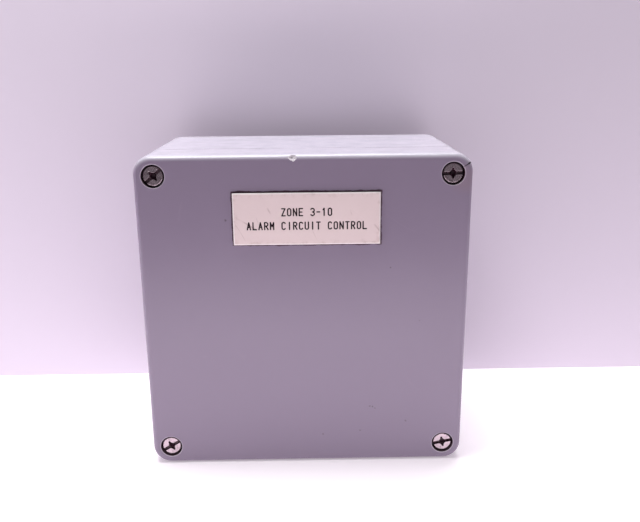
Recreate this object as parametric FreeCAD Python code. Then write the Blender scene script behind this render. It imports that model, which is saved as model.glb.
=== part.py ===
import FreeCAD, Part
import math
import os

# Wall box of a fire detection line, holding a short-circuit isolator. Millimetres, +X right, +Y into the
# wall, +Z up. The origin is the middle of the four wall fixings, on the box's back face. The lid faces -Y.

# Enclosure, moulded in glass-fibre polyester
WIDTH = 160.0
HEIGHT = 160.0
DEPTH = 90.0
LID_DEPTH = 26.0
SEAM_GAP = 0.3
CORNER_RADIUS = 9.0
FRONT_EDGE_RADIUS = 2.8
BACK_EDGE_RADIUS = 1.5
SIDE_WALL = 5.0
BACK_WALL = 5.0
LID_SIDE_WALL = 4.0
LID_FRONT_WALL = 4.0
TOWER_WIDTH = 32.0
TOWER_HEIGHT = 19.0
FLOOR_FILLET = 2.0
BACK_RECESS_MARGIN = 22.0
BACK_RECESS_DEPTH = 0.8

# Seal between the base and the lid
TONGUE_WIDTH = 2.6
GROOVE_CLEARANCE = 0.1
GROOVE_WIDTH = 4.0
GROOVE_DEPTH = 6.0
GROOVE_ROOF = 3.0
INNER_LIP = 2.0
GASKET_THICKNESS = 3.0
GASKET_CLEARANCE = 0.05

# Lid screws, held captive by a push-on ring on their thin shank
SCREW_INSET = 9.5
SCREW_LENGTH = 35.0
SCREW_RADIUS = 3.0
WAIST_RADIUS = 2.4
THREAD_LENGTH = 7.0
SCREW_PITCH = 1.0
SCREW_TURNS = 8
SCREW_BORE_CLEARANCE = 0.3
HEAD_RADIUS = 4.7
HEAD_THICKNESS = 3.9
HEAD_EDGE = 0.45
HEAD_RECESS = 1.0
HEAD_CLEARANCE = 0.8
SLOT_WIDTH = 1.6
SLOT_DEPTH = 1.4
CROSS_SPAN = 5.6
CROSS_TIP_WIDTH = 1.0
CROSS_FLARE_RADIUS = 2.1
CROSS_DEPTH = 2.4
CROSS_FLOOR_RADIUS = 0.8
COUNTERBORE_EDGE = 0.3
WASHER_THICKNESS = 0.8
WASHER_CLEARANCE = 0.3
RUNNING_CLEARANCE = 0.06
RETAINER_RADIUS = 5.2
RETAINER_THICKNESS = 1.5
RETAINER_CLEARANCE = 0.2
RETAINER_STOP_GAP = 0.4
# how far each slot is turned from level, counter-clockwise as seen from the front
SLOT_TURNS = {"top_left": 41.0, "top_right": 2.0, "bottom_left": 31.0, "bottom_right": 12.0}

# Threaded brass inserts for the lid screws
INSERT_WALL = 1.5
INSERT_LENGTH = 10.0
INSERT_GROOVE_DEPTH = 0.5
INSERT_GROOVE_WIDTH = 2.0
RELEASE_GAP = 0.1
TIP_ROOM = 6.0

# Wall fixings, outside the seal and under the lid
FIXING_INSET_X = 25.0
FIXING_INSET_Z = 10.0
FIXING_RADIUS = 3.25
FIXING_WELL_RADIUS = 6.0
FIXING_FLOOR = 6.0

# Cable entries through the bottom wall, and the brass plate that bonds the glands
ENTRY_RADIUS = 10.2
ENTRY_SPACING = 46.0
BOND_PLATE_LENGTH = 80.0
BOND_PLATE_WIDTH = 34.0
BOND_PLATE_THICKNESS = 2.0
BOND_PLATE_CORNER = 2.0
BOND_HOLE_CLEARANCE = 0.6
BOND_SCREW_SPACING = 72.0
BOND_SCREW_OFFSET = 12.0
BOND_SCREW_RADIUS = 1.5
BOND_SCREW_DEPTH = 3.5
BOND_HEAD_RADIUS = 3.0
BOND_HEAD_THICKNESS = 1.5
STUD_RADIUS = 3.0
STUD_LENGTH = 15.0
NUT_FLATS = 10.0
NUT_THICKNESS = 4.0
STUD_WASHER_RADIUS = 5.5
STUD_WASHER_THICKNESS = 1.2
LUG_THICKNESS = 1.0
LUG_LENGTH = 9.0
LUG_TONGUE_WIDTH = 4.4
BARREL_WALL = 0.6
BARREL_LENGTH = 4.0
BARREL_OVERLAP = 2.0
EARTH_BEND_SHARE = 0.8

# Mounting plate on four bosses
PLATE_MARGIN_X = 10.0
PLATE_MARGIN_Z = 8.0
PLATE_THICKNESS = 2.0
PLATE_CORNER = 3.0
BOSS_HEIGHT = 6.0
BOSS_RADIUS = 5.0
BOSS_INSET = 7.0
PLATE_SCREW_RADIUS = 2.0
PLATE_SCREW_DEPTH = 7.0
PAN_RADIUS = 3.8
PAN_THICKNESS = 2.6
# shares of a pan head's thickness and radius that its rounding and slot take up
PAN_ROUND_SHARE = 0.4
PAN_SLOT_DEPTH_SHARE = 0.5
PAN_SLOT_WIDTH_SHARE = 0.3

# 35 mm top-hat rail
RAIL_CENTRE_Z = -24.0
RAIL_LENGTH = 118.0
RAIL_WIDTH = 35.0
RAIL_CROWN = 27.0
RAIL_HEIGHT = 7.5
RAIL_GAUGE = 1.0
RAIL_SCREW_SPACING = 96.0
RAIL_SCREW_HEAD_THICKNESS = 2.2
RAIL_SLOT_LENGTH = 12.0
RAIL_SLOT_WIDTH = 5.2

# Rail terminals
TERMINAL_COUNT = 8
TERMINAL_PITCH = 6.2
TERMINAL_HALF_SPAN = 22.5
TERMINAL_TOP = 42.0
TERMINAL_SHOULDER = 37.0
TERMINAL_ENTRY_HEIGHT = 21.0
ENTRY_CLEARANCE = 0.4
TERMINAL_ENTRY_DEPTH = 10.0
TERMINAL_WELL_OFFSET = 12.0
CLAMP_CLEARANCE = 0.2
TERMINAL_WELL_DEPTH = 10.0
TERMINAL_SCREW_RADIUS = 1.9
TERMINAL_SCREW_LENGTH = 7.5
CLAMP_SLOT_WIDTH = 0.6
CLAMP_SLOT_DEPTH = 1.0
TERMINAL_SIDE_GAP = 0.1
BAR_THICKNESS = 1.1
BAR_HALF_SPAN = 15.0
BAR_HEIGHT = 4.0
RIDGE_HALF_SPAN = 5.0
SHOULDER_RUN = 5.5
SHOULDER_DROP = 8.0
MARKER_THICKNESS = 1.0
MARKER_MARGIN = 0.5
END_PLATE_THICKNESS = 1.5
END_STOP_WIDTH = 9.0
END_STOP_TOP = 30.0
END_STOP_HALF_SPAN = 21.0
END_STOP_RIDGE = 3.0
END_STOP_WELL_RADIUS = 3.0
END_STOP_HEAD_CLEARANCE = 0.2
END_STOP_SCREW_LENGTH = 12.0
HOOK_CLEARANCE = 0.2
HOOK_THICKNESS = 1.9
HOOK_FOOT_THICKNESS = 1.5
HOOK_LIP_TAPER = 0.8
HOOK_WAIST_HEIGHT = 4.0
HOOK_SHOULDER_HEIGHT = 2.0

# Isolator module: a tray on the plate, a circuit board on the tray's posts
MODULE_CENTRE_Z = 28.0
TRAY_WIDTH = 96.0
TRAY_HEIGHT = 42.0
TRAY_DEPTH = 14.0
TRAY_WALL = 2.0
TRAY_FLOOR = 2.0
TRAY_CORNER = 2.5
TRAY_INNER_CORNER = 1.0
TRAY_LUG_REACH = 9.0
TRAY_LUG_WIDTH = 12.0
TRAY_LUG_THICKNESS = 3.0
POST_HEIGHT = 8.0
POST_RADIUS = 3.0
POST_INSET = 4.5
BOARD_CLEARANCE = 0.8
BOARD_THICKNESS = 1.6
BOARD_CORNER = 1.0
BOARD_SCREW_RADIUS = 1.4
BOARD_SCREW_DEPTH = 5.0
BOARD_SCREW_HEAD_RADIUS = 2.6
BOARD_SCREW_HEAD_THICKNESS = 1.8
LINE_WAYS = 8
LINE_PITCH = 5.08
LINE_BLOCK_DEPTH = 9.0
LINE_BLOCK_HEIGHT = 11.0
LINE_ENTRY_HEIGHT = 4.5
LINE_ENTRY_DEPTH = 5.0
LINE_SCREW_RADIUS = 1.6
LINE_SCREW_LENGTH = 4.0
LINE_WELL_DEPTH = 4.8
LINE_WELL_INSET = 4.05
LINE_SLOT_DEPTH = 0.8
LINE_BLOCK_CHAMFER = 2.5

# Parts on the board, by their middles from the module's middle
RELAY_X = -22.0
RELAY_Z = 9.0
RELAY_WIDTH = 19.0
RELAY_HEIGHT = 10.0
RELAY_DEPTH = 10.0
RELAY_EDGE = 0.6
CAPACITOR_XS = (2.0, 12.0)
CAPACITOR_Z = 9.5
CAPACITOR_RADIUS = 4.0
CAPACITOR_DEPTH = 11.5
CAPACITOR_EDGE = 0.5
ARRESTER_XS = (22.0, 28.0)
ARRESTER_Z = 9.0
ARRESTER_RADIUS = 4.0
ARRESTER_THICKNESS = 3.0
ARRESTER_LIFT = 4.6
ARRESTER_FOOT_WIDTH = 1.6
ARRESTER_FOOT_HEIGHT = 5.0
ARRESTER_FOOT_DEPTH = 1.2
# each chip as x, z, width, height and depth: the control chip and the two line switches
CHIPS = ((-2.0, -2.5, 10.0, 6.4, 3.2), (-33.0, -4.0, 6.5, 6.0, 2.4), (33.0, -4.0, 6.5, 6.0, 2.4))
LAMP_X = 15.0
LAMP_Z = -2.5
LAMP_RIM_RADIUS = 2.0
LAMP_RIM_HEIGHT = 1.2
LAMP_RADIUS = 1.5
LAMP_HEIGHT = 4.2

# Link wires from the isolator down to the rail terminals
WIRE_RADIUS = 1.25
FERRULE_STEP = 0.15
FERRULE_LENGTH = 4.0
WIRE_STRAIGHT = 2.0
WIRE_WAYS = {"red": (0, 5), "black": (1, 6), "screen": (2, 7)}

# Engraved nameplate, stuck on the lid
NAMEPLATE_WIDTH = 70.0
NAMEPLATE_HEIGHT = 25.0
NAMEPLATE_THICKNESS = 1.5
NAMEPLATE_BEVEL = 0.35
NAMEPLATE_CENTRE_X = 1.3
NAMEPLATE_CENTRE_Z = 49.8
ADHESIVE_THICKNESS = 0.15
ADHESIVE_MARGIN = 0.4
LETTER_HEIGHT = 4.0
LETTER_STROKE = 0.62
LETTER_WIDTH = 2.15
LETTER_PITCH = 2.75
ENGRAVING_DEPTH = 0.3
FILL_THICKNESS = 0.2
NAMEPLATE_LINES = (("ZONE 3-10", 3.35), ("ALARM CIRCUIT CONTROL", -3.25))

# Sizes and places worked out from the sizes above
SCREW_BORE_RADIUS = SCREW_RADIUS + SCREW_BORE_CLEARANCE
COUNTERBORE_RADIUS = HEAD_RADIUS + HEAD_CLEARANCE
WASHER_RADIUS = COUNTERBORE_RADIUS - WASHER_CLEARANCE
RETAINER_BORE_RADIUS = WAIST_RADIUS + RETAINER_CLEARANCE
INSERT_RADIUS = SCREW_RADIUS + INSERT_WALL
FIXING_X = WIDTH / 2 - FIXING_INSET_X
FIXING_Z = HEIGHT / 2 - FIXING_INSET_Z
FERRULE_RADIUS = WIRE_RADIUS - FERRULE_STEP
WIRE_ENTRY_RADIUS = FERRULE_RADIUS + ENTRY_CLEARANCE
TERMINAL_WELL_RADIUS = TERMINAL_SCREW_RADIUS + CLAMP_CLEARANCE
LINE_WELL_RADIUS = LINE_SCREW_RADIUS + CLAMP_CLEARANCE
FRONT_Y = -DEPTH
LID_BACK_Y = FRONT_Y + LID_DEPTH
BASE_FRONT_Y = LID_BACK_Y + SEAM_GAP
CAVITY_FLOOR_Y = -BACK_WALL
TONGUE_OUTER = SIDE_WALL - TONGUE_WIDTH
GROOVE_OUTER = TONGUE_OUTER - GROOVE_CLEARANCE
GROOVE_INNER = GROOVE_OUTER + GROOVE_WIDTH
TONGUE_TIP_Y = LID_BACK_Y - GROOVE_DEPTH + GASKET_THICKNESS
SCREW_X = WIDTH / 2 - SCREW_INSET
SCREW_Z = HEIGHT / 2 - SCREW_INSET
HEAD_TOP_Y = FRONT_Y + HEAD_RECESS
HEAD_SEAT_Y = HEAD_TOP_Y + HEAD_THICKNESS
COUNTERBORE_FLOOR_Y = HEAD_SEAT_Y + WASHER_THICKNESS
SCREW_END_Y = HEAD_SEAT_Y + SCREW_LENGTH
SCREW_TRAVEL = SCREW_TURNS * SCREW_PITCH
THREAD_TOP_Y = SCREW_END_Y - THREAD_LENGTH
RETAINER_BACK_Y = THREAD_TOP_Y - SCREW_TRAVEL - RETAINER_STOP_GAP
RETAINER_FRONT_Y = RETAINER_BACK_Y - RETAINER_THICKNESS
INSERT_FRONT_Y = SCREW_END_Y - SCREW_TRAVEL + RELEASE_GAP
INSERT_BACK_Y = INSERT_FRONT_Y + INSERT_LENGTH
PLATE_BACK_Y = CAVITY_FLOOR_Y - BOSS_HEIGHT
PLATE_FACE_Y = PLATE_BACK_Y - PLATE_THICKNESS
PLATE_WIDTH = WIDTH - 2 * (SIDE_WALL + PLATE_MARGIN_X)
PLATE_HEIGHT = HEIGHT - 2 * (TOWER_HEIGHT + PLATE_MARGIN_Z)
PLATE_SCREW_X = PLATE_WIDTH / 2 - BOSS_INSET
PLATE_SCREW_Z = PLATE_HEIGHT / 2 - BOSS_INSET
TERMINAL_ENTRY_Y = PLATE_FACE_Y - TERMINAL_ENTRY_HEIGHT
ENTRY_Y = TERMINAL_ENTRY_Y
BOTTOM_INSIDE_Z = -HEIGHT / 2 + SIDE_WALL
BOND_TOP_Z = BOTTOM_INSIDE_Z + BOND_PLATE_THICKNESS
STRIP_LEFT_X = -TERMINAL_COUNT * TERMINAL_PITCH / 2
STRIP_RIGHT_X = -STRIP_LEFT_X
EARTH_X = STRIP_RIGHT_X + TERMINAL_PITCH / 2
END_PLATE_X = STRIP_RIGHT_X + TERMINAL_PITCH
BOARD_BACK_Y = PLATE_FACE_Y - TRAY_FLOOR - POST_HEIGHT
BOARD_FACE_Y = BOARD_BACK_Y - BOARD_THICKNESS
BOARD_WIDTH = TRAY_WIDTH - 2 * (TRAY_WALL + BOARD_CLEARANCE)
BOARD_HEIGHT = TRAY_HEIGHT - 2 * (TRAY_WALL + BOARD_CLEARANCE)
BOARD_BOTTOM_Z = MODULE_CENTRE_Z - BOARD_HEIGHT / 2
LINE_BLOCK_WIDTH = LINE_WAYS * LINE_PITCH
LINE_ENTRY_Y = BOARD_FACE_Y - LINE_ENTRY_HEIGHT
LINE_FACE_Z = BOARD_BOTTOM_Z
CAVITY_STEP = TOWER_HEIGHT - SIDE_WALL
ARM_CORNER_RADIUS = 0.5 * CAVITY_STEP
TOWER_CORNER_RADIUS = 0.36 * CAVITY_STEP
NAMEPLATE_BACK_Y = FRONT_Y - ADHESIVE_THICKNESS
NAMEPLATE_FACE_Y = NAMEPLATE_BACK_Y - NAMEPLATE_THICKNESS

# How far a cut runs past the face it starts from, and how near two places count as one
OVERCUT = 1.0
SAME_PLACE = 1e-4
PARALLEL = 1e-6

X_AXIS = FreeCAD.Vector(1, 0, 0)
Y_AXIS = FreeCAD.Vector(0, 1, 0)
Z_AXIS = FreeCAD.Vector(0, 0, 1)
CORNERS = {"top_left": (-1, 1), "top_right": (1, 1), "bottom_left": (-1, -1), "bottom_right": (1, -1)}


# Plain shapes -------------------------------------------------------------------------------------

def box(x0, x1, y0, y1, z0, z1):
    """Block between two corners."""
    corner = FreeCAD.Vector(min(x0, x1), min(y0, y1), min(z0, z1))
    return Part.makeBox(abs(x1 - x0), abs(y1 - y0), abs(z1 - z0), corner)


def rod_y(x, z, radius, y0, y1):
    """Cylinder along Y."""
    return Part.makeCylinder(radius, abs(y1 - y0), FreeCAD.Vector(x, min(y0, y1), z), Y_AXIS)


def rod_z(x, y, radius, z0, z1):
    """Cylinder along Z."""
    return Part.makeCylinder(radius, abs(z1 - z0), FreeCAD.Vector(x, y, min(z0, z1)), Z_AXIS)


def rod_x(y, z, radius, x0, x1):
    """Cylinder along X."""
    return Part.makeCylinder(radius, abs(x1 - x0), FreeCAD.Vector(min(x0, x1), y, z), X_AXIS)


def prism_y(points, y0, y1):
    """Outline of (x, z) points, drawn along Y."""
    low = min(y0, y1)
    corners = [FreeCAD.Vector(x, low, z) for x, z in points]
    face = Part.Face(Part.makePolygon(corners + corners[:1]))
    return face.extrude(FreeCAD.Vector(0, abs(y1 - y0), 0))


def rail_profile(points, x0, x1):
    """Outline of (z, height above the plate) points about the rail's middle, drawn along X."""
    low = min(x0, x1)
    corners = [FreeCAD.Vector(low, PLATE_FACE_Y - h, RAIL_CENTRE_Z + z) for z, h in points]
    face = Part.Face(Part.makePolygon(corners + corners[:1]))
    return face.extrude(FreeCAD.Vector(abs(x1 - x0), 0, 0))


def mirrored(half):
    """A closed outline from its +z half, listed from the middle outwards and back."""
    return half + [(-z, h) for z, h in reversed(half)]


def edges_along(shape, axis):
    """The straight edges of a shape that run along an axis."""
    found = []
    for edge in shape.Edges:
        if isinstance(edge.Curve, (Part.Line, Part.LineSegment)):
            if abs(abs(edge.tangentAt(edge.FirstParameter).dot(axis)) - 1) < PARALLEL:
                found.append(edge)
    return found


def edges_on_plane(shape, y):
    """The edges of a shape that lie in one plane across Y."""
    return [e for e in shape.Edges if max(abs(e.BoundBox.YMin - y), abs(e.BoundBox.YMax - y)) < SAME_PLACE]


def rounded_block(width, height, radius, y0, y1, x=0.0, z=0.0):
    """Block with its four long edges rounded, centred on (x, z)."""
    block = box(x - width / 2, x + width / 2, y0, y1, z - height / 2, z + height / 2)
    return block.makeFillet(radius, edges_along(block, Y_AXIS))


def cut_all(shape, tools):
    """Shape less every tool."""
    return shape.cut(tools) if tools else shape


def fused(shapes):
    """One solid from touching shapes."""
    return shapes[0].fuse(shapes[1:]).removeSplitter()


def hexagon(x, y, flats, z0, z1):
    """Hexagonal prism along Z."""
    reach = flats / math.sqrt(3)
    turns = [math.radians(60 * i) for i in range(6)]
    corners = [FreeCAD.Vector(x + reach * math.cos(t), y + reach * math.sin(t), z0) for t in turns]
    face = Part.Face(Part.makePolygon(corners + corners[:1]))
    return face.extrude(FreeCAD.Vector(0, 0, z1 - z0))


def pan_screw_y(x, z, seat_y, radius, length, head_radius, head_thickness):
    """Pan-head screw driven in along +Y, with a slotted head."""
    head = rod_y(x, z, head_radius, seat_y - head_thickness, seat_y)
    head = head.makeFillet(head_thickness * PAN_ROUND_SHARE, edges_on_plane(head, seat_y - head_thickness))
    slot_width = head_radius * PAN_SLOT_WIDTH_SHARE
    slot_floor = seat_y - head_thickness * PAN_SLOT_DEPTH_SHARE
    slot = box(x - head_radius, x + head_radius, seat_y - head_thickness - OVERCUT, slot_floor,
               z - slot_width / 2, z + slot_width / 2)
    return head.cut(slot).fuse(rod_y(x, z, radius, seat_y, seat_y + length))


# Enclosure ----------------------------------------------------------------------------------------

def cross_prism(inset, y0, y1):
    """The plus-shaped room inside the corner towers, its walls `inset` from the outside of the box."""
    half_w = WIDTH / 2 - inset
    half_h = HEIGHT / 2 - inset
    arm_w = WIDTH / 2 - TOWER_WIDTH - (inset - SIDE_WALL)
    arm_h = HEIGHT / 2 - TOWER_HEIGHT - (inset - SIDE_WALL)
    outline = [
        (arm_w, arm_h), (half_w, arm_h), (half_w, -arm_h), (arm_w, -arm_h),
        (arm_w, -half_h), (-arm_w, -half_h), (-arm_w, -arm_h), (-half_w, -arm_h),
        (-half_w, arm_h), (-arm_w, arm_h), (-arm_w, half_h), (arm_w, half_h),
    ]
    prism = prism_y(outline, y0, y1)
    at_tower = []
    at_end = []
    for edge in edges_along(prism, Y_AXIS):
        point = edge.Vertexes[0].Point
        on_tower = abs(abs(point.x) - arm_w) < SAME_PLACE and abs(abs(point.z) - arm_h) < SAME_PLACE
        (at_tower if on_tower else at_end).append(edge)
    rounded = prism.makeFillet(TOWER_CORNER_RADIUS + inset - SIDE_WALL, at_tower)
    ends = [e for e in edges_along(rounded, Y_AXIS) if is_arm_end(e, half_w, half_h)]
    return rounded.makeFillet(ARM_CORNER_RADIUS - inset + SIDE_WALL, ends)


def is_arm_end(edge, half_w, half_h):
    """Whether an edge is an outer corner of the plus shape."""
    point = edge.Vertexes[0].Point
    return abs(abs(point.x) - half_w) < SAME_PLACE or abs(abs(point.z) - half_h) < SAME_PLACE


def ring(outer_inset, inner_inset, y0, y1):
    """A band that follows the seal, between two insets."""
    return cross_prism(outer_inset, y0, y1).cut(cross_prism(inner_inset, y0 - OVERCUT, y1 + OVERCUT))


def screw_places():
    """The four lid screws, as name, x and z."""
    return [(name, sx * SCREW_X, sz * SCREW_Z) for name, (sx, sz) in CORNERS.items()]


def fixing_places():
    """The four wall fixings, as x and z."""
    return [(sx * FIXING_X, sz * FIXING_Z) for sx, sz in CORNERS.values()]


def plate_screw_places():
    """The mounting plate's four screws, as x and z."""
    return [(sx * PLATE_SCREW_X, sz * PLATE_SCREW_Z) for sx, sz in CORNERS.values()]


def entry_places():
    """The two cable entries, as x."""
    return [-ENTRY_SPACING / 2, ENTRY_SPACING / 2]


def bond_screw_places():
    """The bonding plate's screws, as x and y."""
    return [(side * BOND_SCREW_SPACING / 2, ENTRY_Y + BOND_SCREW_OFFSET) for side in (-1, 1)]


def insert_form(x, z):
    """Outside of one brass insert: a cylinder with a keying groove round its middle."""
    middle = (INSERT_FRONT_Y + INSERT_BACK_Y) / 2
    half = INSERT_GROOVE_WIDTH / 2
    body = rod_y(x, z, INSERT_RADIUS, INSERT_FRONT_Y, INSERT_BACK_Y)
    band = rod_y(x, z, INSERT_RADIUS + OVERCUT, middle - half, middle + half)
    core = rod_y(x, z, INSERT_RADIUS - INSERT_GROOVE_DEPTH, INSERT_FRONT_Y, INSERT_BACK_Y)
    return body.cut(band.cut(core))


def lid_inserts():
    """Brass inserts moulded into the base's towers."""
    bore = SCREW_RADIUS + RUNNING_CLEARANCE
    return [
        insert_form(x, z).cut(rod_y(x, z, bore, INSERT_FRONT_Y - OVERCUT, INSERT_BACK_Y + OVERCUT))
        for _, x, z in screw_places()
    ]


def base_holes():
    """Everything drilled or cored out of the base."""
    tools = []
    for _, x, z in screw_places():
        tools.append(insert_form(x, z))
        tools.append(rod_y(x, z, SCREW_BORE_RADIUS, BASE_FRONT_Y - OVERCUT, INSERT_FRONT_Y))
        tools.append(rod_y(x, z, SCREW_BORE_RADIUS, INSERT_BACK_Y, INSERT_BACK_Y + TIP_ROOM))
    for x, z in fixing_places():
        tools.append(rod_y(x, z, FIXING_RADIUS, -FIXING_FLOOR - OVERCUT, OVERCUT))
        tools.append(rod_y(x, z, FIXING_WELL_RADIUS, BASE_FRONT_Y - OVERCUT, -FIXING_FLOOR))
    for x, z in plate_screw_places():
        tools.append(rod_y(x, z, PLATE_SCREW_RADIUS, PLATE_BACK_Y - OVERCUT, PLATE_FACE_Y + PLATE_SCREW_DEPTH))
    for x in entry_places():
        tools.append(rod_z(x, ENTRY_Y, ENTRY_RADIUS, -HEIGHT / 2 - OVERCUT, BOTTOM_INSIDE_Z + OVERCUT))
    for x, y in bond_screw_places():
        foot = BOTTOM_INSIDE_Z - BOND_SCREW_DEPTH
        tools.append(rod_z(x, y, BOND_SCREW_RADIUS, foot, BOTTOM_INSIDE_Z + OVERCUT))
    return tools


def base():
    """Moulded back half: walls, corner towers, seal tongue, plate bosses and a relieved back face."""
    shell = rounded_block(WIDTH, HEIGHT, CORNER_RADIUS, BASE_FRONT_Y, 0)
    shell = shell.makeFillet(BACK_EDGE_RADIUS, edges_on_plane(shell, 0))
    room = cross_prism(SIDE_WALL, BASE_FRONT_Y - OVERCUT, CAVITY_FLOOR_Y)
    room = room.makeFillet(FLOOR_FILLET, edges_on_plane(room, CAVITY_FLOOR_Y))
    shell = shell.cut(room)
    tongue = ring(TONGUE_OUTER, SIDE_WALL, TONGUE_TIP_Y, BASE_FRONT_Y)
    bosses = [rod_y(x, z, BOSS_RADIUS, PLATE_BACK_Y, CAVITY_FLOOR_Y) for x, z in plate_screw_places()]
    relief = rounded_block(WIDTH - 2 * BACK_RECESS_MARGIN - CORNER_RADIUS, HEIGHT - 2 * BACK_RECESS_MARGIN,
                           CORNER_RADIUS, -BACK_RECESS_DEPTH, OVERCUT)
    return cut_all(fused([shell, tongue] + bosses), base_holes() + [relief])


def lid_holes():
    """Counterbores, screw bores and retainer recesses."""
    tools = []
    for _, x, z in screw_places():
        tools.append(rod_y(x, z, COUNTERBORE_RADIUS, FRONT_Y - OVERCUT, COUNTERBORE_FLOOR_Y))
        tools.append(rod_y(x, z, SCREW_BORE_RADIUS, COUNTERBORE_FLOOR_Y - OVERCUT, LID_BACK_Y + OVERCUT))
        tools.append(rod_y(x, z, RETAINER_RADIUS, RETAINER_FRONT_Y, LID_BACK_Y + OVERCUT))
    return tools


def lid():
    """Moulded front half with a rounded front edge, the seal groove and the screw bores."""
    shell = rounded_block(WIDTH, HEIGHT, CORNER_RADIUS, FRONT_Y, LID_BACK_Y)
    shell = shell.makeFillet(FRONT_EDGE_RADIUS, edges_on_plane(shell, FRONT_Y))
    shelf_y = LID_BACK_Y - GROOVE_DEPTH - GROOVE_ROOF
    upper_room = cross_prism(LID_SIDE_WALL, FRONT_Y + LID_FRONT_WALL, shelf_y)
    lower_room = cross_prism(GROOVE_INNER + INNER_LIP, shelf_y - OVERCUT, LID_BACK_Y + OVERCUT)
    groove = ring(GROOVE_OUTER, GROOVE_INNER, LID_BACK_Y - GROOVE_DEPTH, LID_BACK_Y + OVERCUT)
    body = cut_all(shell, [upper_room, lower_room, groove] + lid_holes())
    rims = [e for e in edges_on_plane(body, FRONT_Y) if isinstance(e.Curve, Part.Circle)
            and abs(e.Curve.Radius - COUNTERBORE_RADIUS) < SAME_PLACE]
    return body.makeFillet(COUNTERBORE_EDGE, rims)


def lid_gasket():
    """Foamed seal at the bottom of the lid's groove."""
    front = LID_BACK_Y - GROOVE_DEPTH
    outer = GROOVE_OUTER + GASKET_CLEARANCE
    inner = GROOVE_INNER - GASKET_CLEARANCE
    return ring(outer, inner, front, front + GASKET_THICKNESS)


# Lid screws ---------------------------------------------------------------------------------------

def driver_recess(x, z):
    """The slot right across the head, and a short cross recess with flared arms through its middle."""
    open_y = HEAD_TOP_Y - OVERCUT
    slot = box(x - HEAD_RADIUS, x + HEAD_RADIUS, open_y, HEAD_TOP_Y + SLOT_DEPTH,
               z - SLOT_WIDTH / 2, z + SLOT_WIDTH / 2)
    half = CROSS_SPAN / 2
    star = box(x - half, x + half, HEAD_TOP_Y, HEAD_TOP_Y + CROSS_DEPTH, z - half, z + half)
    flare = CROSS_FLARE_RADIUS + CROSS_TIP_WIDTH / 2
    end_y = HEAD_TOP_Y + CROSS_DEPTH + OVERCUT
    petals = [rod_y(x + sx * flare, z + sz * flare, CROSS_FLARE_RADIUS, open_y, end_y)
              for sx, sz in CORNERS.values()]
    corners = [box(x + sx * flare, x + sx * (half + OVERCUT), open_y, end_y,
                   z + sz * CROSS_TIP_WIDTH / 2, z + sz * (half + OVERCUT)) for sx, sz in CORNERS.values()]
    corners += [box(x + sx * CROSS_TIP_WIDTH / 2, x + sx * (half + OVERCUT), open_y, end_y,
                    z + sz * flare, z + sz * (half + OVERCUT)) for sx, sz in CORNERS.values()]
    taper = Part.makeCone(half, CROSS_FLOOR_RADIUS, CROSS_DEPTH, FreeCAD.Vector(x, HEAD_TOP_Y, z), Y_AXIS)
    return [slot, cut_all(star, petals + corners).common(taper)]


def lid_screw(name, x, z):
    """Captive lid screw: cheese head, thin shank and a short threaded end."""
    head = rod_y(x, z, HEAD_RADIUS, HEAD_TOP_Y, HEAD_SEAT_Y)
    head = head.makeFillet(HEAD_EDGE, edges_on_plane(head, HEAD_TOP_Y))
    waist = rod_y(x, z, WAIST_RADIUS, HEAD_SEAT_Y, THREAD_TOP_Y)
    thread = rod_y(x, z, SCREW_RADIUS, THREAD_TOP_Y, SCREW_END_Y)
    screw = cut_all(fused([head, waist, thread]), driver_recess(x, z))
    # a turn about +Y carries +X towards -Z, which is clockwise from the front
    screw.rotate(FreeCAD.Vector(x, 0, z), Y_AXIS, -SLOT_TURNS[name])
    return screw


def screw_washer(x, z):
    """Washer under a screw's head, which rises with the screw."""
    disc = rod_y(x, z, WASHER_RADIUS, HEAD_SEAT_Y, COUNTERBORE_FLOOR_Y)
    hole = rod_y(x, z, WAIST_RADIUS + RUNNING_CLEARANCE, HEAD_SEAT_Y - OVERCUT, COUNTERBORE_FLOOR_Y + OVERCUT)
    return disc.cut(hole)


def screw_retainers():
    """Push-on rings that keep the screws in the lid: the shank passes and the thread doesn't."""
    rings = []
    for _, x, z in screw_places():
        disc = rod_y(x, z, RETAINER_RADIUS, RETAINER_FRONT_Y, RETAINER_BACK_Y)
        rings.append(disc.cut(rod_y(x, z, RETAINER_BORE_RADIUS, RETAINER_FRONT_Y - OVERCUT, LID_BACK_Y)))
    return rings


# Nameplate ----------------------------------------------------------------------------------------

def stroke_line(x0, z0, x1, z1, y0, y1):
    """Straight engraved stroke with round ends."""
    half = LETTER_STROKE / 2
    length = math.hypot(x1 - x0, z1 - z0)
    run = box(0, length, y0, y1, -half, half)
    run.rotate(FreeCAD.Vector(0, 0, 0), Y_AXIS, -math.degrees(math.atan2(z1 - z0, x1 - x0)))
    run.translate(FreeCAD.Vector(x0, 0, z0))
    return [run, rod_y(x0, z0, half, y0, y1), rod_y(x1, z1, half, y0, y1)]


def stroke_arc(x, z, radius, start, end, y0, y1):
    """Curved engraved stroke with round ends. Angles run counter-clockwise as seen from the front."""
    half = LETTER_STROKE / 2
    centre = FreeCAD.Vector(x, y0, z)
    sweep = end - start
    outer = Part.makeCylinder(radius + half, y1 - y0, centre, Y_AXIS, sweep)
    band = outer.cut(Part.makeCylinder(radius - half, y1 - y0, centre, Y_AXIS))
    # a cylinder's sector about +Y starts on +Z and turns towards +X, so its clockwise end is put at `end`
    band.rotate(centre, Y_AXIS, 90 - end)
    turns = [math.radians(start), math.radians(end)]
    return [band] + [rod_y(x + radius * math.cos(t), z + radius * math.sin(t), half, y0, y1) for t in turns]


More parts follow.
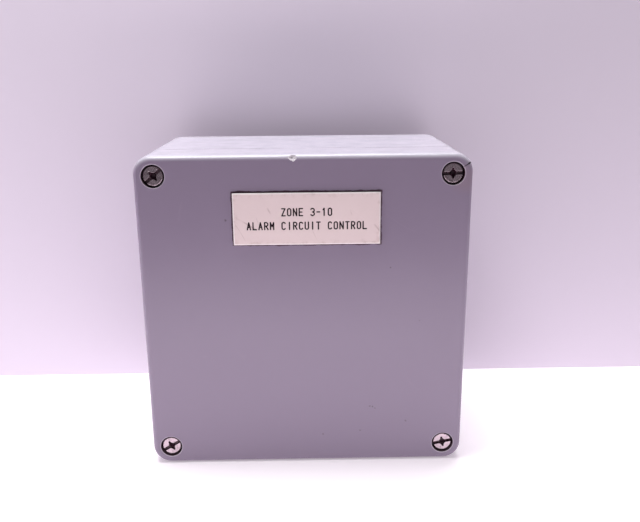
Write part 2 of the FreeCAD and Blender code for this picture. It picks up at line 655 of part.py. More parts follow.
def letter_strokes(letter):
    """Centre lines of one letter, as lines (x0, z0, x1, z1) and arcs (x, z, radius, start, end)."""
    w = LETTER_WIDTH - LETTER_STROKE
    h = LETTER_HEIGHT - LETTER_STROKE
    r = w / 2
    bowl = h / 4
    stem = w - bowl
    loop = [(0, r, 0, h - r), (w, r, w, h - r), (r, h - r, r, 0, 180), (r, r, r, 180, 360)]
    letters = {
        "A": [(0, 0, r, h), (r, h, w, 0), (0.2 * w, 0.36 * h, 0.8 * w, 0.36 * h)],
        "C": [(r, h - r, r, 25, 180), (0, h - r, 0, r), (r, r, r, 180, 335)],
        "E": [(0, 0, 0, h), (0, h, w, h), (0, h / 2, 0.8 * w, h / 2), (0, 0, w, 0)],
        "I": [(r, 0, r, h)],
        "L": [(0, h, 0, 0), (0, 0, w, 0)],
        "M": [(0, 0, 0, h), (0, h, r, 0.4 * h), (r, 0.4 * h, w, h), (w, h, w, 0)],
        "N": [(0, 0, 0, h), (0, h, w, 0), (w, 0, w, h)],
        "O": loop,
        "R": [(0, 0, 0, h), (0, h, stem, h), (stem, h - bowl, bowl, -90, 90), (0, h / 2, stem, h / 2),
              (stem, h / 2, w, 0)],
        "T": [(0, h, w, h), (r, 0, r, h)],
        "U": [(0, h, 0, r), (r, r, r, 180, 360), (w, r, w, h)],
        "Z": [(0, h, w, h), (w, h, 0, 0), (0, 0, w, 0)],
        "0": loop,
        "1": [(r, 0, r, h), (r, h, 0.2 * w, 0.82 * h)],
        "3": [(r, h - bowl, bowl, -90, 150), (r, bowl, bowl, -150, 90)],
        "-": [(0.1 * w, h / 2, 0.9 * w, h / 2)],
    }
    return letters[letter]


def letters_between(y0, y1):
    """Every letter of the nameplate as a solid between two depths."""
    solids = []
    for text, middle_z in NAMEPLATE_LINES:
        left = NAMEPLATE_CENTRE_X - ((len(text) - 1) * LETTER_PITCH + LETTER_WIDTH - LETTER_STROKE) / 2
        bottom = NAMEPLATE_CENTRE_Z + middle_z - (LETTER_HEIGHT - LETTER_STROKE) / 2
        for place, letter in enumerate(text):
            if letter == " ":
                continue
            pieces = []
            for stroke in letter_strokes(letter):
                make = stroke_line if len(stroke) == 4 else stroke_arc
                pieces += make(*stroke, y0, y1)
            solid = fused(pieces)
            solid.translate(FreeCAD.Vector(left + place * LETTER_PITCH, 0, bottom))
            solids.append(solid)
    return solids


def nameplate():
    """White engraved plate with bevelled front edges."""
    plate = box(NAMEPLATE_CENTRE_X - NAMEPLATE_WIDTH / 2, NAMEPLATE_CENTRE_X + NAMEPLATE_WIDTH / 2,
                NAMEPLATE_FACE_Y, NAMEPLATE_BACK_Y,
                NAMEPLATE_CENTRE_Z - NAMEPLATE_HEIGHT / 2, NAMEPLATE_CENTRE_Z + NAMEPLATE_HEIGHT / 2)
    plate = plate.makeChamfer(NAMEPLATE_BEVEL, edges_on_plane(plate, NAMEPLATE_FACE_Y))
    return cut_all(plate, letters_between(NAMEPLATE_FACE_Y - OVERCUT, NAMEPLATE_FACE_Y + ENGRAVING_DEPTH))


def nameplate_fill():
    """Dark enamel in the engraved letters, a little below the plate's face."""
    floor = NAMEPLATE_FACE_Y + ENGRAVING_DEPTH
    return letters_between(floor - FILL_THICKNESS, floor)


def nameplate_adhesive():
    """Adhesive sheet between the nameplate and the lid."""
    return box(NAMEPLATE_CENTRE_X - NAMEPLATE_WIDTH / 2 + ADHESIVE_MARGIN,
               NAMEPLATE_CENTRE_X + NAMEPLATE_WIDTH / 2 - ADHESIVE_MARGIN,
               NAMEPLATE_BACK_Y, FRONT_Y,
               NAMEPLATE_CENTRE_Z - NAMEPLATE_HEIGHT / 2 + ADHESIVE_MARGIN,
               NAMEPLATE_CENTRE_Z + NAMEPLATE_HEIGHT / 2 - ADHESIVE_MARGIN)


# Mounting plate and rail --------------------------------------------------------------------------

def mounting_plate():
    """Steel plate that carries the rail and the isolator."""
    plate = rounded_block(PLATE_WIDTH, PLATE_HEIGHT, PLATE_CORNER, PLATE_FACE_Y, PLATE_BACK_Y)
    holes = [rod_y(x, z, PLATE_SCREW_RADIUS, PLATE_FACE_Y - OVERCUT, PLATE_BACK_Y + OVERCUT)
             for x, z in plate_screw_places() + rail_screw_places() + tray_screw_places()]
    return cut_all(plate, holes)


def plate_screws():
    """Screws through the plate into the base's bosses."""
    return [pan_screw_y(x, z, PLATE_FACE_Y, PLATE_SCREW_RADIUS, PLATE_SCREW_DEPTH, PAN_RADIUS, PAN_THICKNESS)
            for x, z in plate_screw_places()]


def rail_screw_places():
    """The rail's two screws, as x and z."""
    return [(side * RAIL_SCREW_SPACING / 2, RAIL_CENTRE_Z) for side in (-1, 1)]


def din_rail():
    """Top-hat rail, its crown on the plate and its flanges towards the front."""
    outer = RAIL_CROWN / 2
    edge = RAIL_WIDTH / 2
    upper = [
        (0, 0), (outer, 0), (outer, RAIL_HEIGHT - RAIL_GAUGE), (edge, RAIL_HEIGHT - RAIL_GAUGE),
        (edge, RAIL_HEIGHT), (outer - RAIL_GAUGE, RAIL_HEIGHT), (outer - RAIL_GAUGE, RAIL_GAUGE),
        (0, RAIL_GAUGE),
    ]
    rail = rail_profile(mirrored(upper)[:-1], -RAIL_LENGTH / 2, RAIL_LENGTH / 2)
    slots = []
    reach = (RAIL_SLOT_LENGTH - RAIL_SLOT_WIDTH) / 2
    half = RAIL_SLOT_WIDTH / 2
    open_y = PLATE_FACE_Y - RAIL_GAUGE - OVERCUT
    for x, z in rail_screw_places():
        ends = [rod_y(x + side * reach, z, half, open_y, PLATE_FACE_Y) for side in (-1, 1)]
        middle = box(x - reach, x + reach, open_y, PLATE_FACE_Y, z - half, z + half)
        slots += ends + [middle]
    return cut_all(rail, slots)


def rail_screws():
    """Screws through the rail's slots into the plate."""
    seat = PLATE_FACE_Y - RAIL_GAUGE
    return [pan_screw_y(x, z, seat, PLATE_SCREW_RADIUS, RAIL_GAUGE + PLATE_THICKNESS, PAN_RADIUS,
                        RAIL_SCREW_HEAD_THICKNESS)
            for x, z in rail_screw_places()]


def hooked_outline(half_span, shoulder, top):
    """Outline of a piece that clips over the rail's flanges, with sloping shoulders and a raised ridge."""
    flange_edge = RAIL_WIDTH / 2 + HOOK_CLEARANCE
    under = RAIL_HEIGHT - RAIL_GAUGE - HOOK_CLEARANCE
    over = RAIL_HEIGHT + HOOK_CLEARANCE / 2
    lip = RAIL_CROWN / 2 + 3 * HOOK_CLEARANCE
    hook = flange_edge + HOOK_THICKNESS
    foot = under - HOOK_FOOT_THICKNESS
    half = [
        (0, top), (RIDGE_HALF_SPAN, top), (RIDGE_HALF_SPAN, shoulder), (half_span - SHOULDER_RUN, shoulder),
        (half_span, shoulder - SHOULDER_DROP), (half_span, over + HOOK_WAIST_HEIGHT),
        (hook, over + HOOK_SHOULDER_HEIGHT), (hook, foot), (lip + HOOK_LIP_TAPER, foot),
        (lip, under), (flange_edge, under), (flange_edge, over), (0, over),
    ]
    return mirrored(half)[:-1]


def terminal_body(x):
    """One screw terminal: wire holes above and below, screw wells in front, the bar's pocket on its right."""
    half = TERMINAL_PITCH / 2
    body = rail_profile(hooked_outline(TERMINAL_HALF_SPAN, TERMINAL_SHOULDER, TERMINAL_TOP),
                        x - half, x + half - TERMINAL_SIDE_GAP)
    tools = []
    well_top = PLATE_FACE_Y - TERMINAL_SHOULDER
    well_floor = well_top + TERMINAL_WELL_DEPTH
    for side in (-1, 1):
        mouth = RAIL_CENTRE_Z + side * (TERMINAL_HALF_SPAN + OVERCUT)
        end = RAIL_CENTRE_Z + side * (TERMINAL_HALF_SPAN - TERMINAL_ENTRY_DEPTH)
        tools.append(rod_z(x, TERMINAL_ENTRY_Y, WIRE_ENTRY_RADIUS, mouth, end))
        well_z = RAIL_CENTRE_Z + side * TERMINAL_WELL_OFFSET
        tools.append(rod_y(x, well_z, TERMINAL_WELL_RADIUS, well_top - OVERCUT, well_floor))
    tools.append(bar_block(x, TERMINAL_SIDE_GAP, OVERCUT))
    return cut_all(body, tools)


def bar_block(x, margin, proud):
    """A terminal's current bar, or with a margin the pocket that it lies in."""
    right = x + TERMINAL_PITCH / 2 - TERMINAL_SIDE_GAP
    return box(right - BAR_THICKNESS - margin, right + proud,
               TERMINAL_ENTRY_Y - BAR_HEIGHT / 2 - margin, TERMINAL_ENTRY_Y + BAR_HEIGHT / 2 + margin,
               RAIL_CENTRE_Z - BAR_HALF_SPAN - margin, RAIL_CENTRE_Z + BAR_HALF_SPAN + margin)


def strip_places():
    """Middle of each line terminal along the rail."""
    return [STRIP_LEFT_X + (i + 0.5) * TERMINAL_PITCH for i in range(TERMINAL_COUNT)]


def terminal_screw_pair(x):
    """The two clamp screws of one terminal, in their wells."""
    top = PLATE_FACE_Y - TERMINAL_SHOULDER + TERMINAL_WELL_DEPTH - TERMINAL_SCREW_LENGTH
    screws = []
    for side in (-1, 1):
        z = RAIL_CENTRE_Z + side * TERMINAL_WELL_OFFSET
        screw = rod_y(x, z, TERMINAL_SCREW_RADIUS, top, top + TERMINAL_SCREW_LENGTH)
        slot = box(x - CLAMP_SLOT_WIDTH / 2, x + CLAMP_SLOT_WIDTH / 2, top - OVERCUT, top + CLAMP_SLOT_DEPTH,
                   z - TERMINAL_WELL_RADIUS, z + TERMINAL_WELL_RADIUS)
        screws.append(screw.cut(slot))
    return screws


def terminal_markers():
    """Marker tags on the terminals' ridges."""
    top = PLATE_FACE_Y - TERMINAL_TOP
    half = TERMINAL_PITCH / 2 - 2 * TERMINAL_SIDE_GAP
    reach = RIDGE_HALF_SPAN - MARKER_MARGIN
    return [box(x - half, x + half, top - MARKER_THICKNESS, top, RAIL_CENTRE_Z - reach, RAIL_CENTRE_Z + reach)
            for x in strip_places() + [EARTH_X]]


def terminal_end_plate():
    """Plate that closes the open side of the last terminal."""
    outline = hooked_outline(TERMINAL_HALF_SPAN, TERMINAL_SHOULDER, TERMINAL_TOP)
    return rail_profile(outline, END_PLATE_X, END_PLATE_X + END_PLATE_THICKNESS)


def end_stop_places():
    """Left edge of each end stop."""
    left = STRIP_LEFT_X - TERMINAL_SIDE_GAP - END_STOP_WIDTH
    right = END_PLATE_X + END_PLATE_THICKNESS + TERMINAL_SIDE_GAP
    return [left, right]


def end_stops():
    """Clamps that keep the terminals together on the rail."""
    outline = hooked_outline(END_STOP_HALF_SPAN, END_STOP_TOP - END_STOP_RIDGE, END_STOP_TOP)
    stops = []
    for left in end_stop_places():
        stop = rail_profile(outline, left, left + END_STOP_WIDTH)
        well = rod_y(left + END_STOP_WIDTH / 2, RAIL_CENTRE_Z, END_STOP_WELL_RADIUS,
                     PLATE_FACE_Y - END_STOP_TOP - OVERCUT, PLATE_FACE_Y - RAIL_HEIGHT - HOOK_THICKNESS)
        stops.append(stop.cut(well))
    return stops


def end_stop_screws():
    """The end stops' clamp screws, sunk in their wells."""
    seat = PLATE_FACE_Y - RAIL_HEIGHT - HOOK_THICKNESS - END_STOP_SCREW_LENGTH
    head_radius = END_STOP_WELL_RADIUS - END_STOP_HEAD_CLEARANCE
    return [pan_screw_y(left + END_STOP_WIDTH / 2, RAIL_CENTRE_Z, seat, PLATE_SCREW_RADIUS,
                        END_STOP_SCREW_LENGTH, head_radius, PAN_THICKNESS)
            for left in end_stop_places()]


# Isolator module ----------------------------------------------------------------------------------

def tray_screw_places():
    """The tray's two screws, through its side lugs, as x and z."""
    reach = TRAY_WIDTH / 2 + TRAY_LUG_REACH / 2
    return [(side * reach, MODULE_CENTRE_Z) for side in (-1, 1)]


def board_screw_places():
    """The board's four screws, as x and z."""
    x = BOARD_WIDTH / 2 - POST_INSET
    z = BOARD_HEIGHT / 2 - POST_INSET
    return [(sx * x, MODULE_CENTRE_Z + sz * z) for sx, sz in CORNERS.values()]


def isolator_tray():
    """Moulded tray with a lug each side, four posts and an opening at the wires' side."""
    outer = rounded_block(TRAY_WIDTH, TRAY_HEIGHT, TRAY_CORNER, PLATE_FACE_Y - TRAY_DEPTH, PLATE_FACE_Y,
                          z=MODULE_CENTRE_Z)
    inner = rounded_block(TRAY_WIDTH - 2 * TRAY_WALL, TRAY_HEIGHT - 2 * TRAY_WALL, TRAY_INNER_CORNER,
                          PLATE_FACE_Y - TRAY_DEPTH - OVERCUT, PLATE_FACE_Y - TRAY_FLOOR, z=MODULE_CENTRE_Z)
    lugs = rounded_block(TRAY_WIDTH + 2 * TRAY_LUG_REACH, TRAY_LUG_WIDTH, TRAY_CORNER,
                         PLATE_FACE_Y - TRAY_LUG_THICKNESS, PLATE_FACE_Y, z=MODULE_CENTRE_Z)
    posts = [rod_y(x, z, POST_RADIUS, BOARD_BACK_Y, PLATE_FACE_Y) for x, z in board_screw_places()]
    tray = fused([outer.cut(inner), lugs.cut(inner)] + posts)
    half = LINE_BLOCK_WIDTH / 2 + BOARD_CLEARANCE
    wire_mouth = box(-half, half, PLATE_FACE_Y - TRAY_DEPTH - OVERCUT, BOARD_FACE_Y,
                     MODULE_CENTRE_Z - TRAY_HEIGHT / 2 - OVERCUT, LINE_FACE_Z)
    lug_y = PLATE_FACE_Y - TRAY_LUG_THICKNESS
    holes = [rod_y(x, z, PLATE_SCREW_RADIUS, lug_y - OVERCUT, PLATE_FACE_Y + OVERCUT)
             for x, z in tray_screw_places()]
    pilots = [rod_y(x, z, BOARD_SCREW_RADIUS, BOARD_BACK_Y - OVERCUT, BOARD_BACK_Y + BOARD_SCREW_DEPTH)
              for x, z in board_screw_places()]
    return cut_all(tray, [wire_mouth] + holes + pilots)


def tray_screws():
    """Screws that hold the tray on the plate."""
    seat = PLATE_FACE_Y - TRAY_LUG_THICKNESS
    return [pan_screw_y(x, z, seat, PLATE_SCREW_RADIUS, TRAY_LUG_THICKNESS + PLATE_THICKNESS, PAN_RADIUS,
                        PAN_THICKNESS)
            for x, z in tray_screw_places()]


def isolator_board():
    """Printed circuit board on the tray's posts."""
    board = rounded_block(BOARD_WIDTH, BOARD_HEIGHT, BOARD_CORNER, BOARD_FACE_Y, BOARD_BACK_Y,
                          z=MODULE_CENTRE_Z)
    holes = [rod_y(x, z, BOARD_SCREW_RADIUS, BOARD_FACE_Y - OVERCUT, BOARD_BACK_Y + OVERCUT)
             for x, z in board_screw_places()]
    return cut_all(board, holes)


def board_screws():
    """Screws that hold the board on its posts."""
    return [pan_screw_y(x, z, BOARD_FACE_Y, BOARD_SCREW_RADIUS, BOARD_THICKNESS + BOARD_SCREW_DEPTH,
                        BOARD_SCREW_HEAD_RADIUS, BOARD_SCREW_HEAD_THICKNESS)
            for x, z in board_screw_places()]


def line_places():
    """Middle of each way of the board's terminal block."""
    return [-LINE_BLOCK_WIDTH / 2 + (i + 0.5) * LINE_PITCH for i in range(LINE_WAYS)]


def line_well_z():
    """Height of the block's screws."""
    return LINE_FACE_Z + LINE_WELL_INSET


def line_terminals():
    """Screw terminal block along the board's lower edge."""
    block = box(-LINE_BLOCK_WIDTH / 2, LINE_BLOCK_WIDTH / 2, BOARD_FACE_Y - LINE_BLOCK_HEIGHT, BOARD_FACE_Y,
                LINE_FACE_Z, LINE_FACE_Z + LINE_BLOCK_DEPTH)
    top = BOARD_FACE_Y - LINE_BLOCK_HEIGHT
    upper_z = LINE_FACE_Z + LINE_BLOCK_DEPTH
    back = [e for e in edges_on_plane(block, top) if e.BoundBox.ZMin > upper_z - SAME_PLACE]
    block = block.makeChamfer(LINE_BLOCK_CHAMFER, back)
    tools = []
    for x in line_places():
        tools.append(rod_z(x, LINE_ENTRY_Y, WIRE_ENTRY_RADIUS, LINE_FACE_Z - OVERCUT,
                           LINE_FACE_Z + LINE_ENTRY_DEPTH))
        tools.append(rod_y(x, line_well_z(), LINE_WELL_RADIUS, top - OVERCUT, top + LINE_WELL_DEPTH))
    return cut_all(block, tools)


def line_terminal_screws():
    """Clamp screws of the board's terminal block."""
    floor = BOARD_FACE_Y - LINE_BLOCK_HEIGHT + LINE_WELL_DEPTH
    screws = []
    for x in line_places():
        z = line_well_z()
        screw = rod_y(x, z, LINE_SCREW_RADIUS, floor - LINE_SCREW_LENGTH, floor)
        slot = box(x - LINE_WELL_RADIUS, x + LINE_WELL_RADIUS, floor - LINE_SCREW_LENGTH - OVERCUT,
                   floor - LINE_SCREW_LENGTH + LINE_SLOT_DEPTH,
                   z - CLAMP_SLOT_WIDTH / 2, z + CLAMP_SLOT_WIDTH / 2)
        screws.append(screw.cut(slot))
    return screws


def on_board(x, z, width, height, depth):
    """A block standing on the board, centred on (x, z) from the module's middle."""
    z += MODULE_CENTRE_Z
    return box(x - width / 2, x + width / 2, BOARD_FACE_Y - depth, BOARD_FACE_Y,
               z - height / 2, z + height / 2)


def relay():
    """Relay that opens the line at a short circuit."""
    case = on_board(RELAY_X, RELAY_Z, RELAY_WIDTH, RELAY_HEIGHT, RELAY_DEPTH)
    return case.makeFillet(RELAY_EDGE, edges_along(case, Y_AXIS))


def capacitors():
    """Two upright smoothing capacitors."""
    cans = []
    top = BOARD_FACE_Y - CAPACITOR_DEPTH
    for x in CAPACITOR_XS:
        can = rod_y(x, MODULE_CENTRE_Z + CAPACITOR_Z, CAPACITOR_RADIUS, top, BOARD_FACE_Y)
        cans.append(can.makeFillet(CAPACITOR_EDGE, edges_on_plane(can, top)))
    return cans


def surge_arresters():
    """Disc surge arresters across the two line ends, standing on edge."""
    discs = []
    half = ARRESTER_THICKNESS / 2
    centre_y = BOARD_FACE_Y - ARRESTER_LIFT
    centre_z = MODULE_CENTRE_Z + ARRESTER_Z
    for x in ARRESTER_XS:
        disc = rod_x(centre_y, centre_z, ARRESTER_RADIUS, x - half, x + half)
        foot = on_board(x, ARRESTER_Z, ARRESTER_FOOT_WIDTH, ARRESTER_FOOT_HEIGHT, ARRESTER_FOOT_DEPTH)
        discs.append(fused([disc, foot]))
    return discs


def switch_chips():
    """Control chip and two line switches."""
    return [on_board(*chip) for chip in CHIPS]


def status_lamp():
    """Yellow lamp that lights when the isolator has tripped."""
    z = MODULE_CENTRE_Z + LAMP_Z
    rim_y = BOARD_FACE_Y - LAMP_RIM_HEIGHT
    dome_y = BOARD_FACE_Y - LAMP_HEIGHT
    rim = rod_y(LAMP_X, z, LAMP_RIM_RADIUS, rim_y, BOARD_FACE_Y)
    bulb = rod_y(LAMP_X, z, LAMP_RADIUS, dome_y, rim_y)
    dome = Part.makeSphere(LAMP_RADIUS, FreeCAD.Vector(LAMP_X, dome_y, z))
    return fused([rim, bulb, dome])


# Link wires and earth -----------------------------------------------------------------------------

def s_bend(start, end):
    """Tube from start down to end: straight at both ends, two equal arcs between."""
    down = FreeCAD.Vector(0, 0, -WIRE_STRAIGHT)
    upper = start.add(down)
    lower = end.sub(down)
    across = FreeCAD.Vector(lower.x - upper.x, lower.y - upper.y, 0)
    drop = upper.z - lower.z
    turn = 2 * math.atan2(across.Length, drop)
    radius = drop / (2 * math.sin(turn))
    side = FreeCAD.Vector(across).normalize()

    def along(angle):
        """Point on the upper arc after this much turn."""
        reach = FreeCAD.Vector(side).multiply(radius * (1 - math.cos(angle)))
        return upper.add(reach).add(FreeCAD.Vector(0, 0, -radius * math.sin(angle)))

    middle = along(turn)
    upper_mid = along(turn / 2)
    lower_mid = upper.add(lower).sub(upper_mid)
    path = Part.Wire([
        Part.LineSegment(start, upper).toShape(),
        Part.Arc(upper, upper_mid, middle).toShape(),
        Part.Arc(middle, lower_mid, lower).toShape(),
        Part.LineSegment(lower, end).toShape(),
    ])
    return swept(path, Part.Wire(Part.makeCircle(WIRE_RADIUS, start, Z_AXIS)))


def swept(path, section):
    """Solid of a round section along a path."""
    return path.makePipeShell([section], True, True)


def link_wires(ways):
    """Insulated wires from the board's ways to the rail terminals below them."""
    top = LINE_FACE_Z
    bottom = RAIL_CENTRE_Z + TERMINAL_HALF_SPAN
    return [
        s_bend(FreeCAD.Vector(line_places()[way], LINE_ENTRY_Y, top),
               FreeCAD.Vector(strip_places()[way], TERMINAL_ENTRY_Y, bottom))
        for way in ways
    ]


def wire_ferrules():
    """Crimped wire ends inside the terminals."""
    top = LINE_FACE_Z
    bottom = RAIL_CENTRE_Z + TERMINAL_HALF_SPAN
    ends = []
    for ways in WIRE_WAYS.values():
        for way in ways:
            upper_x = line_places()[way]
            lower_x = strip_places()[way]
            ends.append(rod_z(upper_x, LINE_ENTRY_Y, FERRULE_RADIUS, top, top + FERRULE_LENGTH))
            ends.append(rod_z(lower_x, TERMINAL_ENTRY_Y, FERRULE_RADIUS, bottom - FERRULE_LENGTH, bottom))
    foot = RAIL_CENTRE_Z - TERMINAL_HALF_SPAN
    ends.append(rod_z(EARTH_X, TERMINAL_ENTRY_Y, FERRULE_RADIUS, foot, foot + FERRULE_LENGTH))
    return ends


def bonding_plate():
    """Brass plate over the cable entries, on the bottom wall."""
    low = ENTRY_Y - BOND_PLATE_WIDTH / 2
    plate = box(-BOND_PLATE_LENGTH / 2, BOND_PLATE_LENGTH / 2, low, low + BOND_PLATE_WIDTH,
                BOTTOM_INSIDE_Z, BOND_TOP_Z)
    plate = plate.makeFillet(BOND_PLATE_CORNER, edges_along(plate, Z_AXIS))
    bore = ENTRY_RADIUS + BOND_HOLE_CLEARANCE
    tools = [rod_z(x, ENTRY_Y, bore, BOTTOM_INSIDE_Z - OVERCUT, BOND_TOP_Z + OVERCUT) for x in entry_places()]
    tools += [rod_z(x, y, BOND_SCREW_RADIUS, BOTTOM_INSIDE_Z - OVERCUT, BOND_TOP_Z + OVERCUT)
              for x, y in bond_screw_places()]
    return cut_all(plate, tools)


def bonding_screws():
    """Small screws that hold the bonding plate on the bottom wall."""
    screws = []
    for x, y in bond_screw_places():
        shank = rod_z(x, y, BOND_SCREW_RADIUS, BOTTOM_INSIDE_Z - BOND_SCREW_DEPTH, BOND_TOP_Z)
        head = rod_z(x, y, BOND_HEAD_RADIUS, BOND_TOP_Z, BOND_TOP_Z + BOND_HEAD_THICKNESS)
        screws.append(fused([shank, head]))
    return screws


def earth_stud():
    """Brass stud pressed on the bonding plate."""
    return rod_z(0, ENTRY_Y, STUD_RADIUS, BOND_TOP_Z, BOND_TOP_Z + STUD_LENGTH)


def stack_heights():
    """Bottom of each piece on the earth stud, from the plate up."""
    nut = BOND_TOP_Z
    washer = nut + NUT_THICKNESS
    lug = washer + STUD_WASHER_THICKNESS
    upper_washer = lug + LUG_THICKNESS
    return nut, washer, lug, upper_washer, upper_washer + STUD_WASHER_THICKNESS


def stud_hole(z0, z1):
    """Bore of the pieces on the earth stud."""
    return rod_z(0, ENTRY_Y, STUD_RADIUS, z0 - OVERCUT, z1 + OVERCUT)


def earth_nuts():
    """Lower and upper nut on the earth stud."""
    nut, _, _, _, upper = stack_heights()
    return [hexagon(0, ENTRY_Y, NUT_FLATS, z, z + NUT_THICKNESS).cut(stud_hole(z, z + NUT_THICKNESS))
            for z in (nut, upper)]


def earth_washers():
    """Washers each side of the lug."""
    _, washer, _, upper, _ = stack_heights()
    return [rod_z(0, ENTRY_Y, STUD_WASHER_RADIUS, z, z + STUD_WASHER_THICKNESS)
            .cut(stud_hole(z, z + STUD_WASHER_THICKNESS)) for z in (washer, upper)]


def earth_lug():
    """Ring lug with its crimp barrel, towards the earth terminal."""
    z = stack_heights()[2]
    palm = rod_z(0, ENTRY_Y, STUD_WASHER_RADIUS, z, z + LUG_THICKNESS)
    tongue = box(0, LUG_LENGTH, ENTRY_Y - LUG_TONGUE_WIDTH / 2, ENTRY_Y + LUG_TONGUE_WIDTH / 2,
                 z, z + LUG_THICKNESS)
    end = LUG_LENGTH + BARREL_LENGTH
    barrel = rod_x(ENTRY_Y, lug_wire_z(), WIRE_RADIUS + BARREL_WALL, LUG_LENGTH - BARREL_OVERLAP, end)
    barrel = barrel.cut(rod_x(ENTRY_Y, lug_wire_z(), WIRE_RADIUS, LUG_LENGTH, end + OVERCUT))
    return fused([palm, tongue, barrel]).cut(stud_hole(z, z + LUG_THICKNESS))


def lug_wire_z():
    """Height of the wire in the lug's barrel."""
    return stack_heights()[2] + LUG_THICKNESS / 2


def earth_wire():
    """Wire from the lug to the earth terminal, one large quarter turn."""
    foot = RAIL_CENTRE_Z - TERMINAL_HALF_SPAN
    radius = EARTH_BEND_SHARE * min(foot - lug_wire_z(), EARTH_X - LUG_LENGTH)
    centre = FreeCAD.Vector(EARTH_X - radius, ENTRY_Y, lug_wire_z() + radius)
    diagonal = radius / math.sqrt(2)
    start = FreeCAD.Vector(LUG_LENGTH, ENTRY_Y, lug_wire_z())
    bend_in = FreeCAD.Vector(centre.x, ENTRY_Y, lug_wire_z())
    bend_mid = FreeCAD.Vector(centre.x + diagonal, ENTRY_Y, centre.z - diagonal)
    bend_out = FreeCAD.Vector(EARTH_X, ENTRY_Y, centre.z)
    path = Part.Wire([
        Part.LineSegment(start, bend_in).toShape(),
        Part.Arc(bend_in, bend_mid, bend_out).toShape(),
        Part.LineSegment(bend_out, FreeCAD.Vector(EARTH_X, ENTRY_Y, foot)).toShape(),
    ])
    return swept(path, Part.Wire(Part.makeCircle(WIRE_RADIUS, start, X_AXIS)))


# Nodes --------------------------------------------------------------------------------------------

def nodes():
    """Every piece of the box, by the name of its file."""
    pieces = {
        "base": [base()],
        "lid_inserts": lid_inserts(),
        "lid": [lid()],
        "lid_gasket": [lid_gasket()],
        "screw_retainers": screw_retainers(),
        "nameplate": [nameplate()],
        "nameplate_fill": nameplate_fill(),
        "nameplate_adhesive": [nameplate_adhesive()],
        "mounting_plate": [mounting_plate()],
        "plate_screws": plate_screws(),
        "din_rail": [din_rail()],
        "rail_screws": rail_screws(),
        "terminal_bodies": [terminal_body(x) for x in strip_places()],
        "terminal_bars": [bar_block(x, 0, 0) for x in strip_places() + [EARTH_X]],
        "terminal_screws": [s for x in strip_places() + [EARTH_X] for s in terminal_screw_pair(x)],
        "terminal_markers": terminal_markers(),
        "terminal_end_plate": [terminal_end_plate()],
        "earth_terminal": [terminal_body(EARTH_X)],
        "end_stops": end_stops(),
        "end_stop_screws": end_stop_screws(),
        "isolator_tray": [isolator_tray()],
        "tray_screws": tray_screws(),
        "isolator_board": [isolator_board()],
        "board_screws": board_screws(),
        "line_terminals": [line_terminals()],
        "line_terminal_screws": line_terminal_screws(),
        "isolator_relay": [relay()],
        "smoothing_capacitors": capacitors(),
        "surge_arresters": surge_arresters(),
        "switch_chips": switch_chips(),
        "status_lamp": [status_lamp()],
        "wire_ferrules": wire_ferrules(),
        "bonding_plate": [bonding_plate()],
        "bonding_screws": bonding_screws(),
        "earth_stud": [earth_stud()],
        "earth_nuts": earth_nuts(),
        "earth_washers": earth_washers(),
        "earth_lug": [earth_lug()],
        "earth_wire": [earth_wire()],
    }
    for name, x, z in screw_places():
        pieces[f"lid_screw_{name}"] = [lid_screw(name, x, z)]
        pieces[f"screw_washer_{name}"] = [screw_washer(x, z)]
    for colour, ways in WIRE_WAYS.items():
        pieces[f"link_wires_{colour}"] = link_wires(ways)
    return pieces


os.makedirs("parts", exist_ok=True)
for node, solids in nodes().items():
    shape = solids[0] if len(solids) == 1 else Part.makeCompound(solids)
    shape.exportStep(f"parts/{node}.step")
    print(f"{node:28s} solids {len(shape.Solids):3d}  volume {shape.Volume:11.2f} mm3  valid {shape.isValid()}")
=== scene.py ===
"""Wall box of a fire detection line: finishes, small fittings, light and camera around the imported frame."""

import logging
import math
import random
from dataclasses import dataclass
from enum import Enum

import bmesh
import bpy
from mathutils import Matrix, Vector, noise


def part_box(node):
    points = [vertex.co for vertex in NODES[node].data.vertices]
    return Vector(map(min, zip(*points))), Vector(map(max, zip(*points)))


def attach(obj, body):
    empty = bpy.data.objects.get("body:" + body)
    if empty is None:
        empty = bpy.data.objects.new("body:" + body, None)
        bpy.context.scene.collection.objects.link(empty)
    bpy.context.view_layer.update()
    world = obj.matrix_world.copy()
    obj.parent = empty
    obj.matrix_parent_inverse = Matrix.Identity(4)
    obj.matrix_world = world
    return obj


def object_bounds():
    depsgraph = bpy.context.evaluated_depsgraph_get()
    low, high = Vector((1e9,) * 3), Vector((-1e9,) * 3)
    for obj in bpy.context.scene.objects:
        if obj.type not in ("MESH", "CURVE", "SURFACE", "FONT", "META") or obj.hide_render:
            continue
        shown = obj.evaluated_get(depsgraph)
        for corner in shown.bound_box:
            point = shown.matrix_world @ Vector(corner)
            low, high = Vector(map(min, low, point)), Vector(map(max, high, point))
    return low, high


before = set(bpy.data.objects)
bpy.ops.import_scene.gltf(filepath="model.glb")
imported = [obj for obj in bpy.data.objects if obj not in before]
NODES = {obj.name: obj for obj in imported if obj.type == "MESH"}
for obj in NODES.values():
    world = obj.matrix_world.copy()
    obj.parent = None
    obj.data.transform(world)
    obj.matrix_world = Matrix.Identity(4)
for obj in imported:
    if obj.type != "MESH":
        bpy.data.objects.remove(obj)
CAD_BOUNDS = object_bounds()

MM = 0.001
log = logging.getLogger("line_box")

Colour = tuple[float, float, float]
Point = tuple[float, float, float]
Socket = bpy.types.NodeSocket
Build = bmesh.types.BMesh


# Shader sheets ------------------------------------------------------------------------------------

